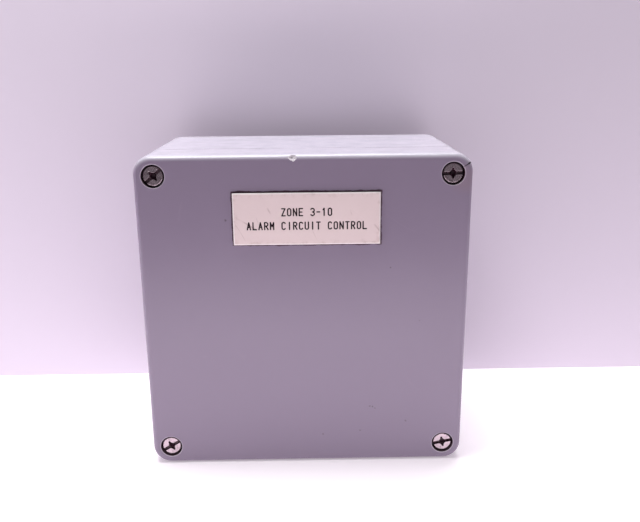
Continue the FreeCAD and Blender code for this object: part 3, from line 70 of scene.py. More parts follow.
class Sheet:
    """A node tree being drawn up, either a material's or a group's."""

    def __init__(self, tree: bpy.types.NodeTree) -> None:
        """Start on a tree.

        Args:
            tree: The node tree that new nodes go into.
        """
        self.tree = tree
        self.placed = 0

    def add(self, kind: str, values: dict | None = None, **settings: object) -> bpy.types.Node:
        """Place one node.

        Args:
            kind: The node's type, without its "ShaderNode" prefix.
            values: Input socket name or number to a number, a colour or another node's output.
            settings: Attributes of the node itself.

        Returns:
            The new node.
        """
        node = self.tree.nodes.new("ShaderNode" + kind)
        node.location = (180 * (self.placed % 8), -220 * (self.placed // 8))
        self.placed += 1
        for name, value in settings.items():
            setattr(node, name, value)
        for name, value in (values or {}).items():
            self.feed(node.inputs[name], value)
        return node

    def feed(self, socket: Socket, value: object) -> None:
        """Link an output to a socket, or set the socket's own value.

        Args:
            socket: The input to fill.
            value: An output socket, a number, or a colour of three numbers.
        """
        if isinstance(value, Socket):
            self.tree.links.new(value, socket)
        elif isinstance(value, tuple) and socket.type == "RGBA":
            socket.default_value = (*value, 1.0)
        else:
            socket.default_value = value

    def maths(self, operation: str, first: object, second: object = 0.0, clamp: bool = False) -> Socket:
        """One step of arithmetic.

        Args:
            operation: Name of the Math node's operation.
            first: First number or output.
            second: Second number or output.
            clamp: Whether the result is kept between 0 and 1.

        Returns:
            The result's socket.
        """
        node = self.add("Math", {0: first, 1: second}, operation=operation, use_clamp=clamp)
        return node.outputs[0]

    def between(self, value: object, low: float, high: float) -> Socket:
        """Smooth step from 0 at low to 1 at high.

        Args:
            value: The output to read.
            low: Where the result is 0.
            high: Where the result is 1.

        Returns:
            The result's socket.
        """
        node = self.add("MapRange", {"Value": value, "From Min": low, "From Max": high},
                        interpolation_type="SMOOTHSTEP")
        return node.outputs["Result"]

    def blend(self, share: object, first: object, second: object) -> Socket:
        """Mix of two colours.

        Args:
            share: How much of the second colour shows.
            first: First colour or output.
            second: Second colour or output.

        Returns:
            The mixed colour's socket.
        """
        node = self.add("Mix", data_type="RGBA")
        self.feed(node.inputs[0], share)
        self.feed(node.inputs[6], first)
        self.feed(node.inputs[7], second)
        return node.outputs[2]

    def noise(self, place: object, scale: object, detail: float = 3.0, roughness: float = 0.55) -> Socket:
        """Cloudy noise between 0 and 1.

        Args:
            place: Coordinates to read it at.
            scale: Features per metre.
            detail: Number of finer layers.
            roughness: Strength of the finer layers.

        Returns:
            The noise's socket.
        """
        values = {"Vector": place, "Scale": scale, "Detail": detail, "Roughness": roughness}
        node = self.add("TexNoise", values)
        return node.outputs[0]


class GroupSheet(Sheet):
    """A shader node group with named inputs and outputs."""

    def __init__(self, name: str, numbers: dict[str, float], colours: dict[str, Colour],
                 results: dict[str, str]) -> None:
        """Make the group's outside.

        Args:
            name: The group's name.
            numbers: Input name to its default number.
            colours: Input name to its default colour.
            results: Output name to its socket kind, such as "NodeSocketColor".
        """
        super().__init__(bpy.data.node_groups.new(name, "ShaderNodeTree"))
        for label, value in numbers.items():
            socket = self.tree.interface.new_socket(label, in_out="INPUT", socket_type="NodeSocketFloat")
            socket.default_value = value
        for label, colour in colours.items():
            socket = self.tree.interface.new_socket(label, in_out="INPUT", socket_type="NodeSocketColor")
            socket.default_value = (*colour, 1.0)
        for label, kind in results.items():
            self.tree.interface.new_socket(label, in_out="OUTPUT", socket_type=kind)
        self.inside = self.tree.nodes.new("NodeGroupInput")
        self.outside = self.tree.nodes.new("NodeGroupOutput")

    def given(self, label: str) -> Socket:
        """The socket inside the group that carries a named input."""
        return self.inside.outputs[label]

    def result(self, label: str, value: Socket) -> None:
        """Send a value to a named output."""
        self.tree.links.new(value, self.outside.inputs[label])


class Effect(Enum):
    """Surface effects that several finishes share."""

    MOTTLE = "mottle"
    GRAIN = "grain"
    EDGE = "edge"
    DUST_AND_SHEEN = "dust_and_sheen"
    SCRATCH = "scratch"
    SPECK = "speck"


class EffectLibrary:
    """Builds each shared effect once, as a node group."""

    def __init__(self) -> None:
        """Start with no group built."""
        self.built: dict[Effect, bpy.types.NodeTree] = {}

    def group(self, effect: Effect) -> bpy.types.NodeTree:
        """The node group of an effect.

        Args:
            effect: Which effect.

        Returns:
            Its node group, built at the first call.
        """
        if effect not in self.built:
            self.built[effect] = getattr(self, effect.value)()
        return self.built[effect]

    def mottle(self) -> bpy.types.NodeTree:
        """Slow change between two colours, with a finer one on top."""
        sheet = GroupSheet("mottle", {"Scale": 40.0, "Amount": 0.5},
                           {"Colour": (0.5, 0.5, 0.5), "Second Colour": (0.4, 0.4, 0.4)},
                           {"Colour": "NodeSocketColor"})
        place = sheet.add("TexCoord").outputs["Object"]
        wide = sheet.noise(place, sheet.given("Scale"), detail=4.0)
        fine = sheet.noise(place, sheet.maths("MULTIPLY", sheet.given("Scale"), 11.0), detail=2.0)
        both = sheet.maths("ADD", sheet.maths("MULTIPLY", wide, 0.75), sheet.maths("MULTIPLY", fine, 0.25))
        share = sheet.maths("MULTIPLY", sheet.between(both, 0.35, 0.65), sheet.given("Amount"))
        sheet.result("Colour", sheet.blend(share, sheet.given("Colour"), sheet.given("Second Colour")))
        return sheet.tree

    def grain(self) -> bpy.types.NodeTree:
        """Fine surface texture and the roughness that goes with it."""
        sheet = GroupSheet("grain", {"Scale": 900.0, "Smooth": 0.3, "Rough": 0.5, "Wave": 0.4}, {},
                           {"Height": "NodeSocketFloat", "Roughness": "NodeSocketFloat"})
        place = sheet.add("TexCoord").outputs["Object"]
        fine = sheet.noise(place, sheet.given("Scale"), detail=3.0)
        broad = sheet.noise(place, sheet.maths("MULTIPLY", sheet.given("Scale"), 0.06), detail=3.0)
        height = sheet.maths("ADD", fine, sheet.maths("MULTIPLY", broad, sheet.given("Wave")))
        spread = sheet.maths("SUBTRACT", sheet.given("Rough"), sheet.given("Smooth"))
        mixed = sheet.maths("MULTIPLY", sheet.between(broad, 0.3, 0.7), spread)
        sheet.result("Height", height)
        sheet.result("Roughness", sheet.maths("ADD", mixed, sheet.given("Smooth")))
        return sheet.tree

    def edge(self) -> bpy.types.NodeTree:
        """Softened edges: a rounded normal, and a mask of where the edges are."""
        sheet = GroupSheet("edge", {"Radius": 0.0003, "Amount": 0.5}, {},
                           {"Mask": "NodeSocketFloat", "Normal": "NodeSocketVector"})
        rounded = sheet.add("Bevel", {"Radius": sheet.given("Radius")}, samples=4).outputs[0]
        flat = sheet.add("NewGeometry").outputs["Normal"]
        agree = sheet.add("VectorMath", {0: rounded, 1: flat}, operation="DOT_PRODUCT").outputs["Value"]
        turned = sheet.between(agree, 0.995, 0.86)
        place = sheet.add("TexCoord").outputs["Object"]
        patchy = sheet.between(sheet.noise(place, 420.0), 0.36, 0.62)
        share = sheet.maths("MULTIPLY", patchy, sheet.given("Amount"))
        mask = sheet.maths("MULTIPLY", turned, share, clamp=True)
        sheet.result("Mask", mask)
        sheet.result("Normal", rounded)
        return sheet.tree

    def dust_and_sheen(self) -> bpy.types.NodeTree:
        """Dust and bright lint that lie on what faces up; the mask also reaches down rounded edges, where it
        is a painted highlight.
        """
        sheet = GroupSheet("dust_and_sheen", {"Amount": 0.4, "Scale": 160.0}, {}, {"Mask": "NodeSocketFloat"})
        normal = sheet.add("NewGeometry").outputs["Normal"]
        # the mask runs down to almost vertical faces, so on rounded top edges it paints a highlight as well
        # as dust
        upward = sheet.between(sheet.add("SeparateXYZ", {0: normal}).outputs["Z"], 0.02, 0.70)
        place = sheet.add("TexCoord").outputs["Object"]
        patchy = sheet.between(sheet.noise(place, sheet.given("Scale"), detail=6.0, roughness=0.7), -1.2, 1.1)
        cells = sheet.add("TexVoronoi", {"Vector": place, "Scale": 620.0})
        chance = sheet.add("SeparateColor", {0: cells.outputs["Color"]}).outputs[0]
        speck = sheet.maths("LESS_THAN", cells.outputs["Distance"], sheet.maths("MULTIPLY", chance, 0.30))
        lint = sheet.maths("MULTIPLY", speck, sheet.maths("LESS_THAN", chance, 0.5))
        lying = sheet.maths("MULTIPLY", sheet.maths("ADD", patchy, lint), sheet.given("Amount"))
        sheet.result("Mask", sheet.maths("MULTIPLY", upward, lying, clamp=True))
        return sheet.tree

    def scratch(self) -> bpy.types.NodeTree:
        """Thin lines that come and go, along the borders of stretched cells."""
        sheet = GroupSheet("scratch", {"Scale": 60.0, "Width": 0.02, "Amount": 0.5, "Turn": 0.5}, {},
                           {"Mask": "NodeSocketFloat"})
        place = sheet.add("TexCoord").outputs["Object"]
        bent = sheet.add("VectorMath", {0: place, 1: (0.0, 0.0, 0.0)}, operation="ADD")
        sway = sheet.add("TexNoise", {"Vector": place, "Scale": 35.0, "Detail": 1.0}).outputs["Color"]
        small = sheet.add("VectorMath", {0: sway, "Scale": 0.006}, operation="SCALE").outputs[0]
        sheet.feed(bent.inputs[1], small)
        turned = sheet.add("VectorRotate", {"Vector": bent.outputs[0], "Angle": sheet.given("Turn")},
                           rotation_type="Y_AXIS").outputs[0]
        stretched = sheet.add("VectorMath", {0: turned, 1: (1.0, 1.0, 0.16)}, operation="MULTIPLY").outputs[0]
        cells = sheet.add("TexVoronoi", {"Vector": stretched, "Scale": sheet.given("Scale")},
                          feature="DISTANCE_TO_EDGE")
        away = sheet.maths("DIVIDE", cells.outputs["Distance"], sheet.given("Width"), clamp=True)
        line = sheet.maths("SUBTRACT", 1.0, away)
        shown = sheet.between(sheet.noise(place, 75.0, detail=2.0), 0.56, 0.66)
        drawn = sheet.maths("MULTIPLY", line, shown)
        sheet.result("Mask", sheet.maths("MULTIPLY", drawn, sheet.given("Amount")))
        return sheet.tree

    def speck(self) -> bpy.types.NodeTree:
        """Sparse small marks of uneven size."""
        sheet = GroupSheet("speck", {"Scale": 90.0, "Size": 0.05, "Share": 0.1}, {},
                           {"Mask": "NodeSocketFloat"})
        place = sheet.add("TexCoord").outputs["Object"]
        cells = sheet.add("TexVoronoi", {"Vector": place, "Scale": sheet.given("Scale")})
        chance = sheet.add("SeparateColor", {0: cells.outputs["Color"]})
        chosen = sheet.maths("LESS_THAN", chance.outputs[0], sheet.given("Share"))
        reach = sheet.maths("MULTIPLY", sheet.given("Size"), sheet.maths("ADD", 0.5, chance.outputs[1]))
        near = sheet.maths("LESS_THAN", cells.outputs["Distance"], reach)
        sheet.result("Mask", sheet.maths("MULTIPLY", chosen, near))
        return sheet.tree


EFFECTS = EffectLibrary()


# Finishes -----------------------------------------------------------------------------------------

@dataclass(frozen=True)
class Finish:
    """A surface finish: two close colours, grain, worn edges, dust, scratches and specks; on the case, the
    pale edges and the dust down its rounded edges are partly painted highlight.
    """

    name: str
    colour: Colour
    second: Colour
    smooth: float = 0.35
    rough: float = 0.5
    metallic: float = 0.0
    mottle_scale: float = 40.0
    mottle: float = 0.6
    grain_scale: float = 900.0
    grain_height: float = 0.02
    edge_radius: float = 0.25
    wear_and_sheen: float = 0.0
    wear_and_sheen_colour: Colour = (0.6, 0.6, 0.6)
    dust_and_sheen: float = 0.15
    dust_and_sheen_colour: Colour = (0.62, 0.58, 0.56)
    scratch: float = 0.0
    scratch_scale: float = 55.0
    scratch_width: float = 0.02
    scratch_colour: Colour = (0.3, 0.3, 0.3)
    speck: float = 0.0
    speck_colour: Colour = (0.05, 0.04, 0.05)
    ior: float = 1.5
    coat: float = 0.0

    def place(self, sheet: Sheet, effect: Effect, values: dict) -> bpy.types.Node:
        """Put one shared effect into a material.

        Args:
            sheet: The material's sheet.
            effect: Which effect.
            values: Input name to value.

        Returns:
            The group's node.
        """
        node = sheet.add("Group", node_tree=EFFECTS.group(effect))
        for label, value in values.items():
            sheet.feed(node.inputs[label], value)
        return node

    def base(self, sheet: Sheet) -> Socket:
        """The finish's own colour, before wear and dirt."""
        values = {"Colour": self.colour, "Second Colour": self.second, "Scale": self.mottle_scale,
                  "Amount": self.mottle}
        return self.place(sheet, Effect.MOTTLE, values).outputs["Colour"]

    def marks(self, sheet: Sheet, colour: Socket) -> Socket:
        """Colour with this finish's own marks, for finishes that have some."""
        return colour

    def relief(self, sheet: Sheet, height: Socket) -> Socket:
        """Height with this finish's own relief, for finishes that have some."""
        return height

    def metal(self, sheet: Sheet) -> object:
        """How metallic the finish is, as a number or an output that varies."""
        return self.metallic

    def material(self) -> bpy.types.Material:
        """Build the material, or find it if it is built.

        Returns:
            The material of this finish.
        """
        found = bpy.data.materials.get(self.name)
        if found:
            return found
        made = bpy.data.materials.new(self.name)
        made.use_nodes = True
        made.node_tree.nodes.clear()
        sheet = Sheet(made.node_tree)
        edge = self.place(sheet, Effect.EDGE, {"Radius": self.edge_radius * MM, "Amount": self.wear_and_sheen})
        values = {"Scale": self.grain_scale, "Smooth": self.smooth, "Rough": self.rough}
        grain = self.place(sheet, Effect.GRAIN, values)
        colour = self.base(sheet)
        if self.scratch:
            values = {"Scale": self.scratch_scale, "Width": self.scratch_width, "Amount": self.scratch}
            lines = self.place(sheet, Effect.SCRATCH, values).outputs["Mask"]
            colour = sheet.blend(lines, colour, self.scratch_colour)
        if self.speck:
            spots = self.place(sheet, Effect.SPECK, {"Share": self.speck}).outputs["Mask"]
            colour = sheet.blend(spots, colour, self.speck_colour)
        # pale edges: wear, and on the case partly a painted highlight
        if self.wear_and_sheen:
            colour = sheet.blend(edge.outputs["Mask"], colour, self.wear_and_sheen_colour)
        if self.dust_and_sheen:
            lying = self.place(sheet, Effect.DUST_AND_SHEEN, {"Amount": self.dust_and_sheen}).outputs["Mask"]
            colour = sheet.blend(lying, colour, self.dust_and_sheen_colour)
        colour = self.marks(sheet, colour)
        height = self.relief(sheet, grain.outputs["Height"])
        bump = sheet.add("Bump", {"Strength": 1.0, "Distance": self.grain_height * MM, "Height": height,
                                  "Normal": edge.outputs["Normal"]})
        shader = sheet.add("BsdfPrincipled", {
            "Base Color": colour, "Metallic": self.metal(sheet), "Roughness": grain.outputs["Roughness"],
            "IOR": self.ior, "Coat Weight": self.coat, "Normal": bump.outputs[0]})
        out = sheet.add("OutputMaterial")
        made.node_tree.links.new(shader.outputs[0], out.inputs["Surface"])
        return made

    def dress(self, *pieces: bpy.types.Object) -> None:
        """Give this finish to pieces, as their only material.

        Args:
            pieces: Mesh objects.
        """
        for piece in pieces:
            piece.data.materials.clear()
            piece.data.materials.append(self.material())


@dataclass(frozen=True)
class TurnedFinish(Finish):
    """Metal with the fine rings of a lathe about the middle of its own box."""

    ring_scale: float = 46.0
    ring_height: float = 0.25

    def relief(self, sheet: Sheet, height: Socket) -> Socket:
        """Add concentric rings to the grain.

        Args:
            sheet: The material's sheet.
            height: The grain's height.

        Returns:
            The height with the rings on it.
        """
        parts = sheet.add("SeparateXYZ", {0: sheet.add("TexCoord").outputs["Generated"]})
        across = sheet.maths("SUBTRACT", parts.outputs["X"], 0.5)
        up = sheet.maths("SUBTRACT", parts.outputs["Z"], 0.5)
        reach = sheet.maths("SQRT", sheet.maths("ADD", sheet.maths("MULTIPLY", across, across),
                                                sheet.maths("MULTIPLY", up, up)))
        waves = sheet.maths("SINE", sheet.maths("MULTIPLY", reach, self.ring_scale * math.tau))
        return sheet.maths("ADD", height, sheet.maths("MULTIPLY", waves, self.ring_height))


@dataclass(frozen=True)
class ScrewSteel(TurnedFinish):
    """Stainless of the lid screws, with painted shade and dirt in the driver recess and round the head, and
    threaded at the end.
    """

    face_y: float = 0.0
    seat_y: float = 0.0
    thread_y: float = 0.0
    slot_depth: float = 1.4
    pitch: float = 1.0
    thread_height: float = 18.0
    grime_and_painted_shade: Colour = (0.034, 0.012, 0.022)
    dry_grime_and_painted_shade: Colour = (0.115, 0.066, 0.084)

    def dirt_and_painted_light(self, sheet: Sheet) -> Socket:
        """Mask of what lies below the head's face and above its seat, where shade is painted."""
        depth = sheet.add("SeparateXYZ", {0: sheet.add("TexCoord").outputs["Object"]}).outputs["Y"]
        below = sheet.between(depth, self.face_y + 0.1 * MM, self.face_y + 0.4 * MM)
        return sheet.maths("MULTIPLY", below, sheet.maths("LESS_THAN", depth, self.seat_y))

    def marks(self, sheet: Sheet, colour: Socket) -> Socket:
        """Paint shade and dirt into the recess: near black on its walls, brown on the slot's floor."""
        place = sheet.add("TexCoord").outputs["Object"]
        depth = sheet.add("SeparateXYZ", {0: place}).outputs["Y"]
        floor = sheet.maths("COMPARE", depth, self.face_y + self.slot_depth * MM)
        floor.node.inputs[2].default_value = 0.12 * MM
        share = sheet.maths("MULTIPLY", floor, sheet.between(sheet.noise(place, 1300.0), 0.3, 0.6))
        # painted shade with dirt: near black on the walls, brown on the slot's floor
        dirt = sheet.blend(share, self.grime_and_painted_shade, self.dry_grime_and_painted_shade)
        stain = sheet.between(sheet.noise(place, 650.0, detail=5.0), 0.52, 0.72)
        worn = sheet.blend(sheet.maths("MULTIPLY", stain, 0.45), colour, self.dry_grime_and_painted_shade)
        return sheet.blend(self.dirt_and_painted_light(sheet), worn, dirt)

    def metal(self, sheet: Sheet) -> object:
        """The painted shade and dirt aren't metallic."""
        return sheet.maths("SUBTRACT", 1.0, sheet.maths("MULTIPLY", self.dirt_and_painted_light(sheet), 0.9))

    def relief(self, sheet: Sheet, height: Socket) -> Socket:
        """Rings of the lathe on the head and a thread on the end."""
        ringed = super().relief(sheet, height)
        parts = sheet.add("SeparateXYZ", {0: sheet.add("TexCoord").outputs["Object"]})
        local = sheet.add("SeparateXYZ", {0: sheet.add("TexCoord").outputs["Generated"]})
        across = sheet.maths("SUBTRACT", local.outputs["X"], 0.5)
        up = sheet.maths("SUBTRACT", local.outputs["Z"], 0.5)
        turn = sheet.maths("ARCTAN2", up, across)
        climb = sheet.maths("MULTIPLY", parts.outputs["Y"], math.tau / (self.pitch * MM))
        wave = sheet.maths("SINE", sheet.maths("ADD", climb, turn))
        on_end = sheet.maths("GREATER_THAN", parts.outputs["Y"], self.thread_y)
        cut = sheet.maths("MULTIPLY", sheet.maths("MULTIPLY", wave, on_end), self.thread_height)
        return sheet.maths("ADD", ringed, cut)


@dataclass(frozen=True)
class Frame:
    """A rectangle on the front face, by its middle and half sizes in millimetres."""

    x: float
    z: float
    half_width: float
    half_height: float

    def outside(self, sheet: Sheet, place: Socket) -> Socket:
        """Distance outside the rectangle, in metres; inside it is below zero.

        Args:
            sheet: The material's sheet.
            place: Coordinates to measure.

        Returns:
            The distance's socket.
        """
        parts = sheet.add("SeparateXYZ", {0: place})
        sides = []
        for axis, middle, half in (("X", self.x, self.half_width), ("Z", self.z, self.half_height)):
            off = sheet.maths("ABSOLUTE", sheet.maths("SUBTRACT", parts.outputs[axis], middle * MM))
            sides.append(sheet.maths("SUBTRACT", off, half * MM))
        return sheet.maths("MAXIMUM", *sides)


def frame_of(name: str) -> Frame:
    """The outline of a CAD node on the front face.

    Args:
        name: The node's name.

    Returns:
        Its outline.
    """
    low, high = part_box(name)
    return Frame((low.x + high.x) / 2 / MM, (low.z + high.z) / 2 / MM, (high.x - low.x) / 2 / MM,
                 (high.z - low.z) / 2 / MM)


@dataclass(frozen=True)
class Spot:
    """A mark on the front face: its middle, its size and how strong it is."""

    x: float
    z: float
    radius: float
    strength: float
    colour: Colour = (0.10, 0.08, 0.10)


@dataclass(frozen=True)
class Bores:
    """The four screw bores: their distance from the middle both ways, their radius and their depth."""

    out: float
    radius: float
    depth: float

    def away(self, sheet: Sheet, place: Socket) -> Socket:
        """Distance from the nearest bore's axis, in metres.

        Args:
            sheet: The material's sheet.
            place: Coordinates to measure.

        Returns:
            The distance's socket.
        """
        parts = sheet.add("SeparateXYZ", {0: place})
        across, up = (sheet.maths("SUBTRACT", sheet.maths("ABSOLUTE", parts.outputs[axis]), self.out)
                      for axis in ("X", "Z"))
        flat = sheet.add("CombineXYZ", {"X": across, "Y": up}).outputs[0]
        return sheet.add("VectorMath", {0: flat}, operation="LENGTH").outputs["Value"]


@dataclass(frozen=True)
class CasePolyester(Finish):
    """Moulded polyester of the case, with the handling marks of its front, the dirt of its joints, painted
    shade in the screw bores and along the nameplate, and a painted highlight on the bores' rims.
    """

    front_y: float = 0.0
    seam_y: float = 0.0
    plate: Frame = Frame(0.0, 0.0, 1.0, 1.0)
    bores: Bores = Bores(1.0, 1.0, 1.0)
    spots: tuple[Spot, ...] = ()
    sway: float = 1.2
    # pale colour of the painted highlight round the bores
    rim_highlight: Colour = (0.55, 0.48, 0.56)
    grime_and_painted_shade: Colour = (0.062, 0.024, 0.038)

    def spotted(self, sheet: Sheet, place: Socket, colour: Socket) -> Socket:
        """Add the spots, with uneven outlines."""
        sway = sheet.add("TexNoise", {"Vector": place, "Scale": 900.0, "Detail": 2.0}).outputs["Color"]
        shift = sheet.add("VectorMath", {0: sway, "Scale": self.sway * MM}, operation="SCALE").outputs[0]
        moved = sheet.add("VectorMath", {0: place, 1: shift}, operation="ADD").outputs[0]
        for spot in self.spots:
            middle = (spot.x * MM, self.front_y, spot.z * MM)
            centre = tuple(value + self.sway / 2 * MM for value in middle)
            away = sheet.add("VectorMath", {0: moved, 1: centre}, operation="DISTANCE").outputs["Value"]
            near = sheet.between(away, spot.radius * MM, spot.radius * MM * 0.3)
            colour = sheet.blend(sheet.maths("MULTIPLY", near, spot.strength), colour, spot.colour)
        return colour

    def seam(self, sheet: Sheet, place: Socket, depth: Socket) -> Socket:
        """Mask of the dirt along the seam of lid and base, on the outside only."""
        off_seam = sheet.maths("ABSOLUTE", sheet.maths("SUBTRACT", depth, self.seam_y))
        collected = sheet.between(sheet.noise(place, 120.0, detail=4.0), 0.36, 0.62)
        facing = sheet.add("SeparateXYZ", {0: sheet.add("NewGeometry").outputs["Normal"]}).outputs["Y"]
        outside = sheet.maths("MULTIPLY", collected, sheet.maths("GREATER_THAN", facing, -0.5))
        return sheet.maths("MULTIPLY", sheet.between(off_seam, 0.55 * MM, 0.1 * MM), outside)

    def plate_line(self, sheet: Sheet, place: Socket) -> Socket:
        """Mask of the uneven dark line along the nameplate's edge: dirt, and painted shade where the plate
        meets the lid.
        """
        uneven = sheet.maths("MULTIPLY", sheet.noise(place, 260.0, detail=5.0), 1.6 * MM)
        edge = sheet.maths("SUBTRACT", self.plate.outside(sheet, place), uneven)
        return sheet.between(edge, 0.12 * MM, -0.12 * MM)

    def marks(self, sheet: Sheet, colour: Socket) -> Socket:
        """Add the spots, the dirt of the joints, the painted highlight on the bores' rims, and the painted
        shade on the bores' walls and along the nameplate.
        """
        place = sheet.add("TexCoord").outputs["Object"]
        depth = sheet.add("SeparateXYZ", {0: place}).outputs["Y"]
        colour = self.spotted(sheet, place, colour)
        colour = sheet.blend(self.seam(sheet, place, depth), colour, self.grime_and_painted_shade)
        on_face = sheet.maths("LESS_THAN", depth, self.front_y + 0.6 * MM)
        # dirt and painted shade along the nameplate's edge
        line = sheet.maths("MULTIPLY", self.plate_line(sheet, place), on_face)
        colour = sheet.blend(sheet.maths("MULTIPLY", line, 0.85), colour, self.grime_and_painted_shade)
        away = self.bores.away(sheet, place)
        # painted highlight: a pale ring where the bore's rounded edge catches the light
        off_rim = sheet.maths("ABSOLUTE", sheet.maths("SUBTRACT", away, self.bores.radius + 0.18 * MM))
        rim_highlight = sheet.maths("MULTIPLY", sheet.between(off_rim, 0.34 * MM, 0.1 * MM), on_face)
        colour = sheet.blend(sheet.maths("MULTIPLY", rim_highlight, 0.5), colour, self.rim_highlight)
        # painted shade: the bore walls are darkened almost to the dark colour
        within = sheet.maths("LESS_THAN", away, self.bores.radius + 0.02 * MM)
        above_seat = sheet.maths("LESS_THAN", depth, self.front_y + self.bores.depth)
        walls = sheet.maths("MULTIPLY", within, above_seat)
        return sheet.blend(sheet.maths("MULTIPLY", walls, 0.9), colour, self.grime_and_painted_shade)


@dataclass(frozen=True)
class PlateLaminate(Finish):
    """Engraving laminate: a thin white face over a dark core, handled and dirty towards its edges, with a
    painted highlight along its bevel.
    """

    face_y: float = 0.0
    outline: Frame = Frame(0.0, 0.0, 1.0, 1.0)
    layer: float = 0.8
    core: Colour = (0.035, 0.018, 0.024)
    # pale colour of the painted highlight along the bevel
    bevel: Colour = (0.95, 0.90, 0.90)
    dirt: Colour = (0.40, 0.27, 0.24)

    def marks(self, sheet: Sheet, colour: Socket) -> Socket:
        """Add the dirt towards the edges, the pale bevel as a painted highlight, and the core where it shows.
        """
        place = sheet.add("TexCoord").outputs["Object"]
        edge = self.outline.outside(sheet, place)
        near = sheet.between(edge, -3.2 * MM, -0.2 * MM)
        patchy = sheet.between(sheet.noise(place, 330.0, detail=6.0, roughness=0.7), 0.46, 0.74)
        lying = sheet.maths("MULTIPLY", near, patchy)
        dirt_and_painted_light = sheet.blend(sheet.maths("MULTIPLY", lying, 0.45), colour, self.dirt)
        painted_bevel_highlight = sheet.between(edge, -0.68 * MM, -0.40 * MM)
        dirt_and_painted_light = sheet.blend(sheet.maths("MULTIPLY", painted_bevel_highlight, 0.6), dirt_and_painted_light, self.bevel)
        depth = sheet.add("SeparateXYZ", {0: place}).outputs["Y"]
        below = sheet.maths("GREATER_THAN", depth, self.face_y + self.layer * MM)
        return sheet.blend(below, dirt_and_painted_light, self.core)


FRONT_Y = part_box("lid")[0].y
HEAD_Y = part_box("lid_screw_top_left")[0].y
BORE_X = (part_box("lid_screw_top_right")[0].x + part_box("lid_screw_top_right")[1].x) / 2
BORE_RADIUS = 5.5 * MM
BORE_DEPTH = 5.2 * MM
HEAD_SEAT = 4.0 * MM
THREAD_LENGTH = 7.0 * MM
GREY_CASE = CasePolyester(
    "case_polyester", (0.246, 0.197, 0.274), (0.238, 0.190, 0.266), smooth=0.20, rough=0.25,
    mottle_scale=18.0, mottle=0.3, grain_scale=1400.0, grain_height=0.005, wear_and_sheen=0.35,
    # pale edge colour: edge wear, and on the case partly a painted highlight on its edges
    wear_and_sheen_colour=(0.52, 0.46, 0.55), dust_and_sheen=0.42,
    # pale dust colour, spread down the rounded edges, is partly a painted highlight
    dust_and_sheen_colour=(0.80, 0.82, 0.86), scratch=0.10, scratch_colour=(0.33, 0.28, 0.36), scratch_width=0.008,
    front_y=FRONT_Y, seam_y=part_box("lid")[1].y, plate=frame_of("nameplate"),
    bores=Bores(BORE_X, BORE_RADIUS, BORE_DEPTH),
    spots=(Spot(-37.3, 49.2, 0.7, 0.7), Spot(41.6, 24.9, 0.5, 0.7), Spot(-79.0, 26.0, 0.7, 0.8),
           Spot(32.3, -49.0, 0.5, 0.6), Spot(33.8, -49.3, 0.5, 0.7), Spot(35.0, -50.2, 0.5, 0.6),
           Spot(27.4, -62.7, 0.6, 0.6), Spot(51.0, -57.5, 0.7, 0.5), Spot(8.2, -64.6, 0.6, 0.6),
           Spot(56.5, -2.5, 0.4, 0.4), Spot(76.0, 68.0, 9.0, 0.35, (0.27, 0.19, 0.22))))
FRACTURE = Finish("fractured_polyester", (0.56, 0.52, 0.56), (0.72, 0.68, 0.72), smooth=0.6, rough=0.85,
                  dust_and_sheen=0.0, mottle_scale=900.0, mottle=1.0, grain_scale=2600.0, grain_height=0.10)
# near-black colour of the cracks' cut faces
CRACK_FACE_DARK = Finish("crack_face_dark", (0.020, 0.010, 0.014), (0.035, 0.020, 0.026), smooth=0.8, rough=0.95,
                    dust_and_sheen=0.0, mottle_scale=900.0)
STAINLESS = ScrewSteel(
    "turned_stainless", (0.66, 0.54, 0.59), (0.50, 0.40, 0.44), smooth=0.14, rough=0.24, metallic=1.0,
    mottle_scale=420.0, mottle=0.7, grain_scale=2600.0, grain_height=0.010, wear_and_sheen=0.0,
    dust_and_sheen=0.0, scratch=0.5, scratch_scale=520.0, scratch_width=0.03, scratch_colour=(0.16, 0.12, 0.13),
    face_y=HEAD_Y, seat_y=HEAD_Y + HEAD_SEAT,
    thread_y=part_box("lid_screw_top_left")[1].y - THREAD_LENGTH)
PLATE_WHITE = PlateLaminate(
    "engraving_laminate", (0.755, 0.625, 0.625), (0.715, 0.590, 0.590), smooth=0.28, rough=0.40,
    mottle_scale=60.0, mottle=0.5, grain_scale=1800.0, grain_height=0.003, wear_and_sheen=0.0, dust_and_sheen=0.0, scratch=0.60,
    scratch_scale=70.0, scratch_width=0.012, scratch_colour=(0.40, 0.28, 0.28), speck=0.06,
    speck_colour=(0.30, 0.20, 0.20), edge_radius=0.35, ior=1.35, face_y=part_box("nameplate")[0].y,
    outline=frame_of("nameplate"))
FILL_DARK = Finish("letter_enamel", (0.012, 0.005, 0.008), (0.022, 0.010, 0.014), smooth=0.6, rough=0.85,
                   dust_and_sheen=0.0, mottle_scale=500.0, ior=1.3)
GLUE = Finish("glue_sheet", (0.050, 0.032, 0.040), (0.11, 0.075, 0.085), smooth=0.5, rough=0.8, dust_and_sheen=0.1,
              mottle_scale=500.0)
NYLON = Finish("black_nylon", (0.046, 0.020, 0.030), (0.060, 0.028, 0.040), smooth=0.45, rough=0.65,
               dust_and_sheen=0.15, mottle_scale=300.0)
FOAM = Finish("foam_seal", (0.030, 0.030, 0.032), (0.055, 0.055, 0.058), smooth=0.75, rough=0.95, dust_and_sheen=0.1,
              grain_scale=3000.0, grain_height=0.12, mottle_scale=900.0)
BRASS = Finish("machined_brass", (0.78, 0.55, 0.23), (0.55, 0.36, 0.16), smooth=0.22, rough=0.45,
               metallic=1.0, mottle_scale=120.0, grain_scale=2400.0, grain_height=0.006, wear_and_sheen=0.5,
               wear_and_sheen_colour=(0.92, 0.72, 0.38))
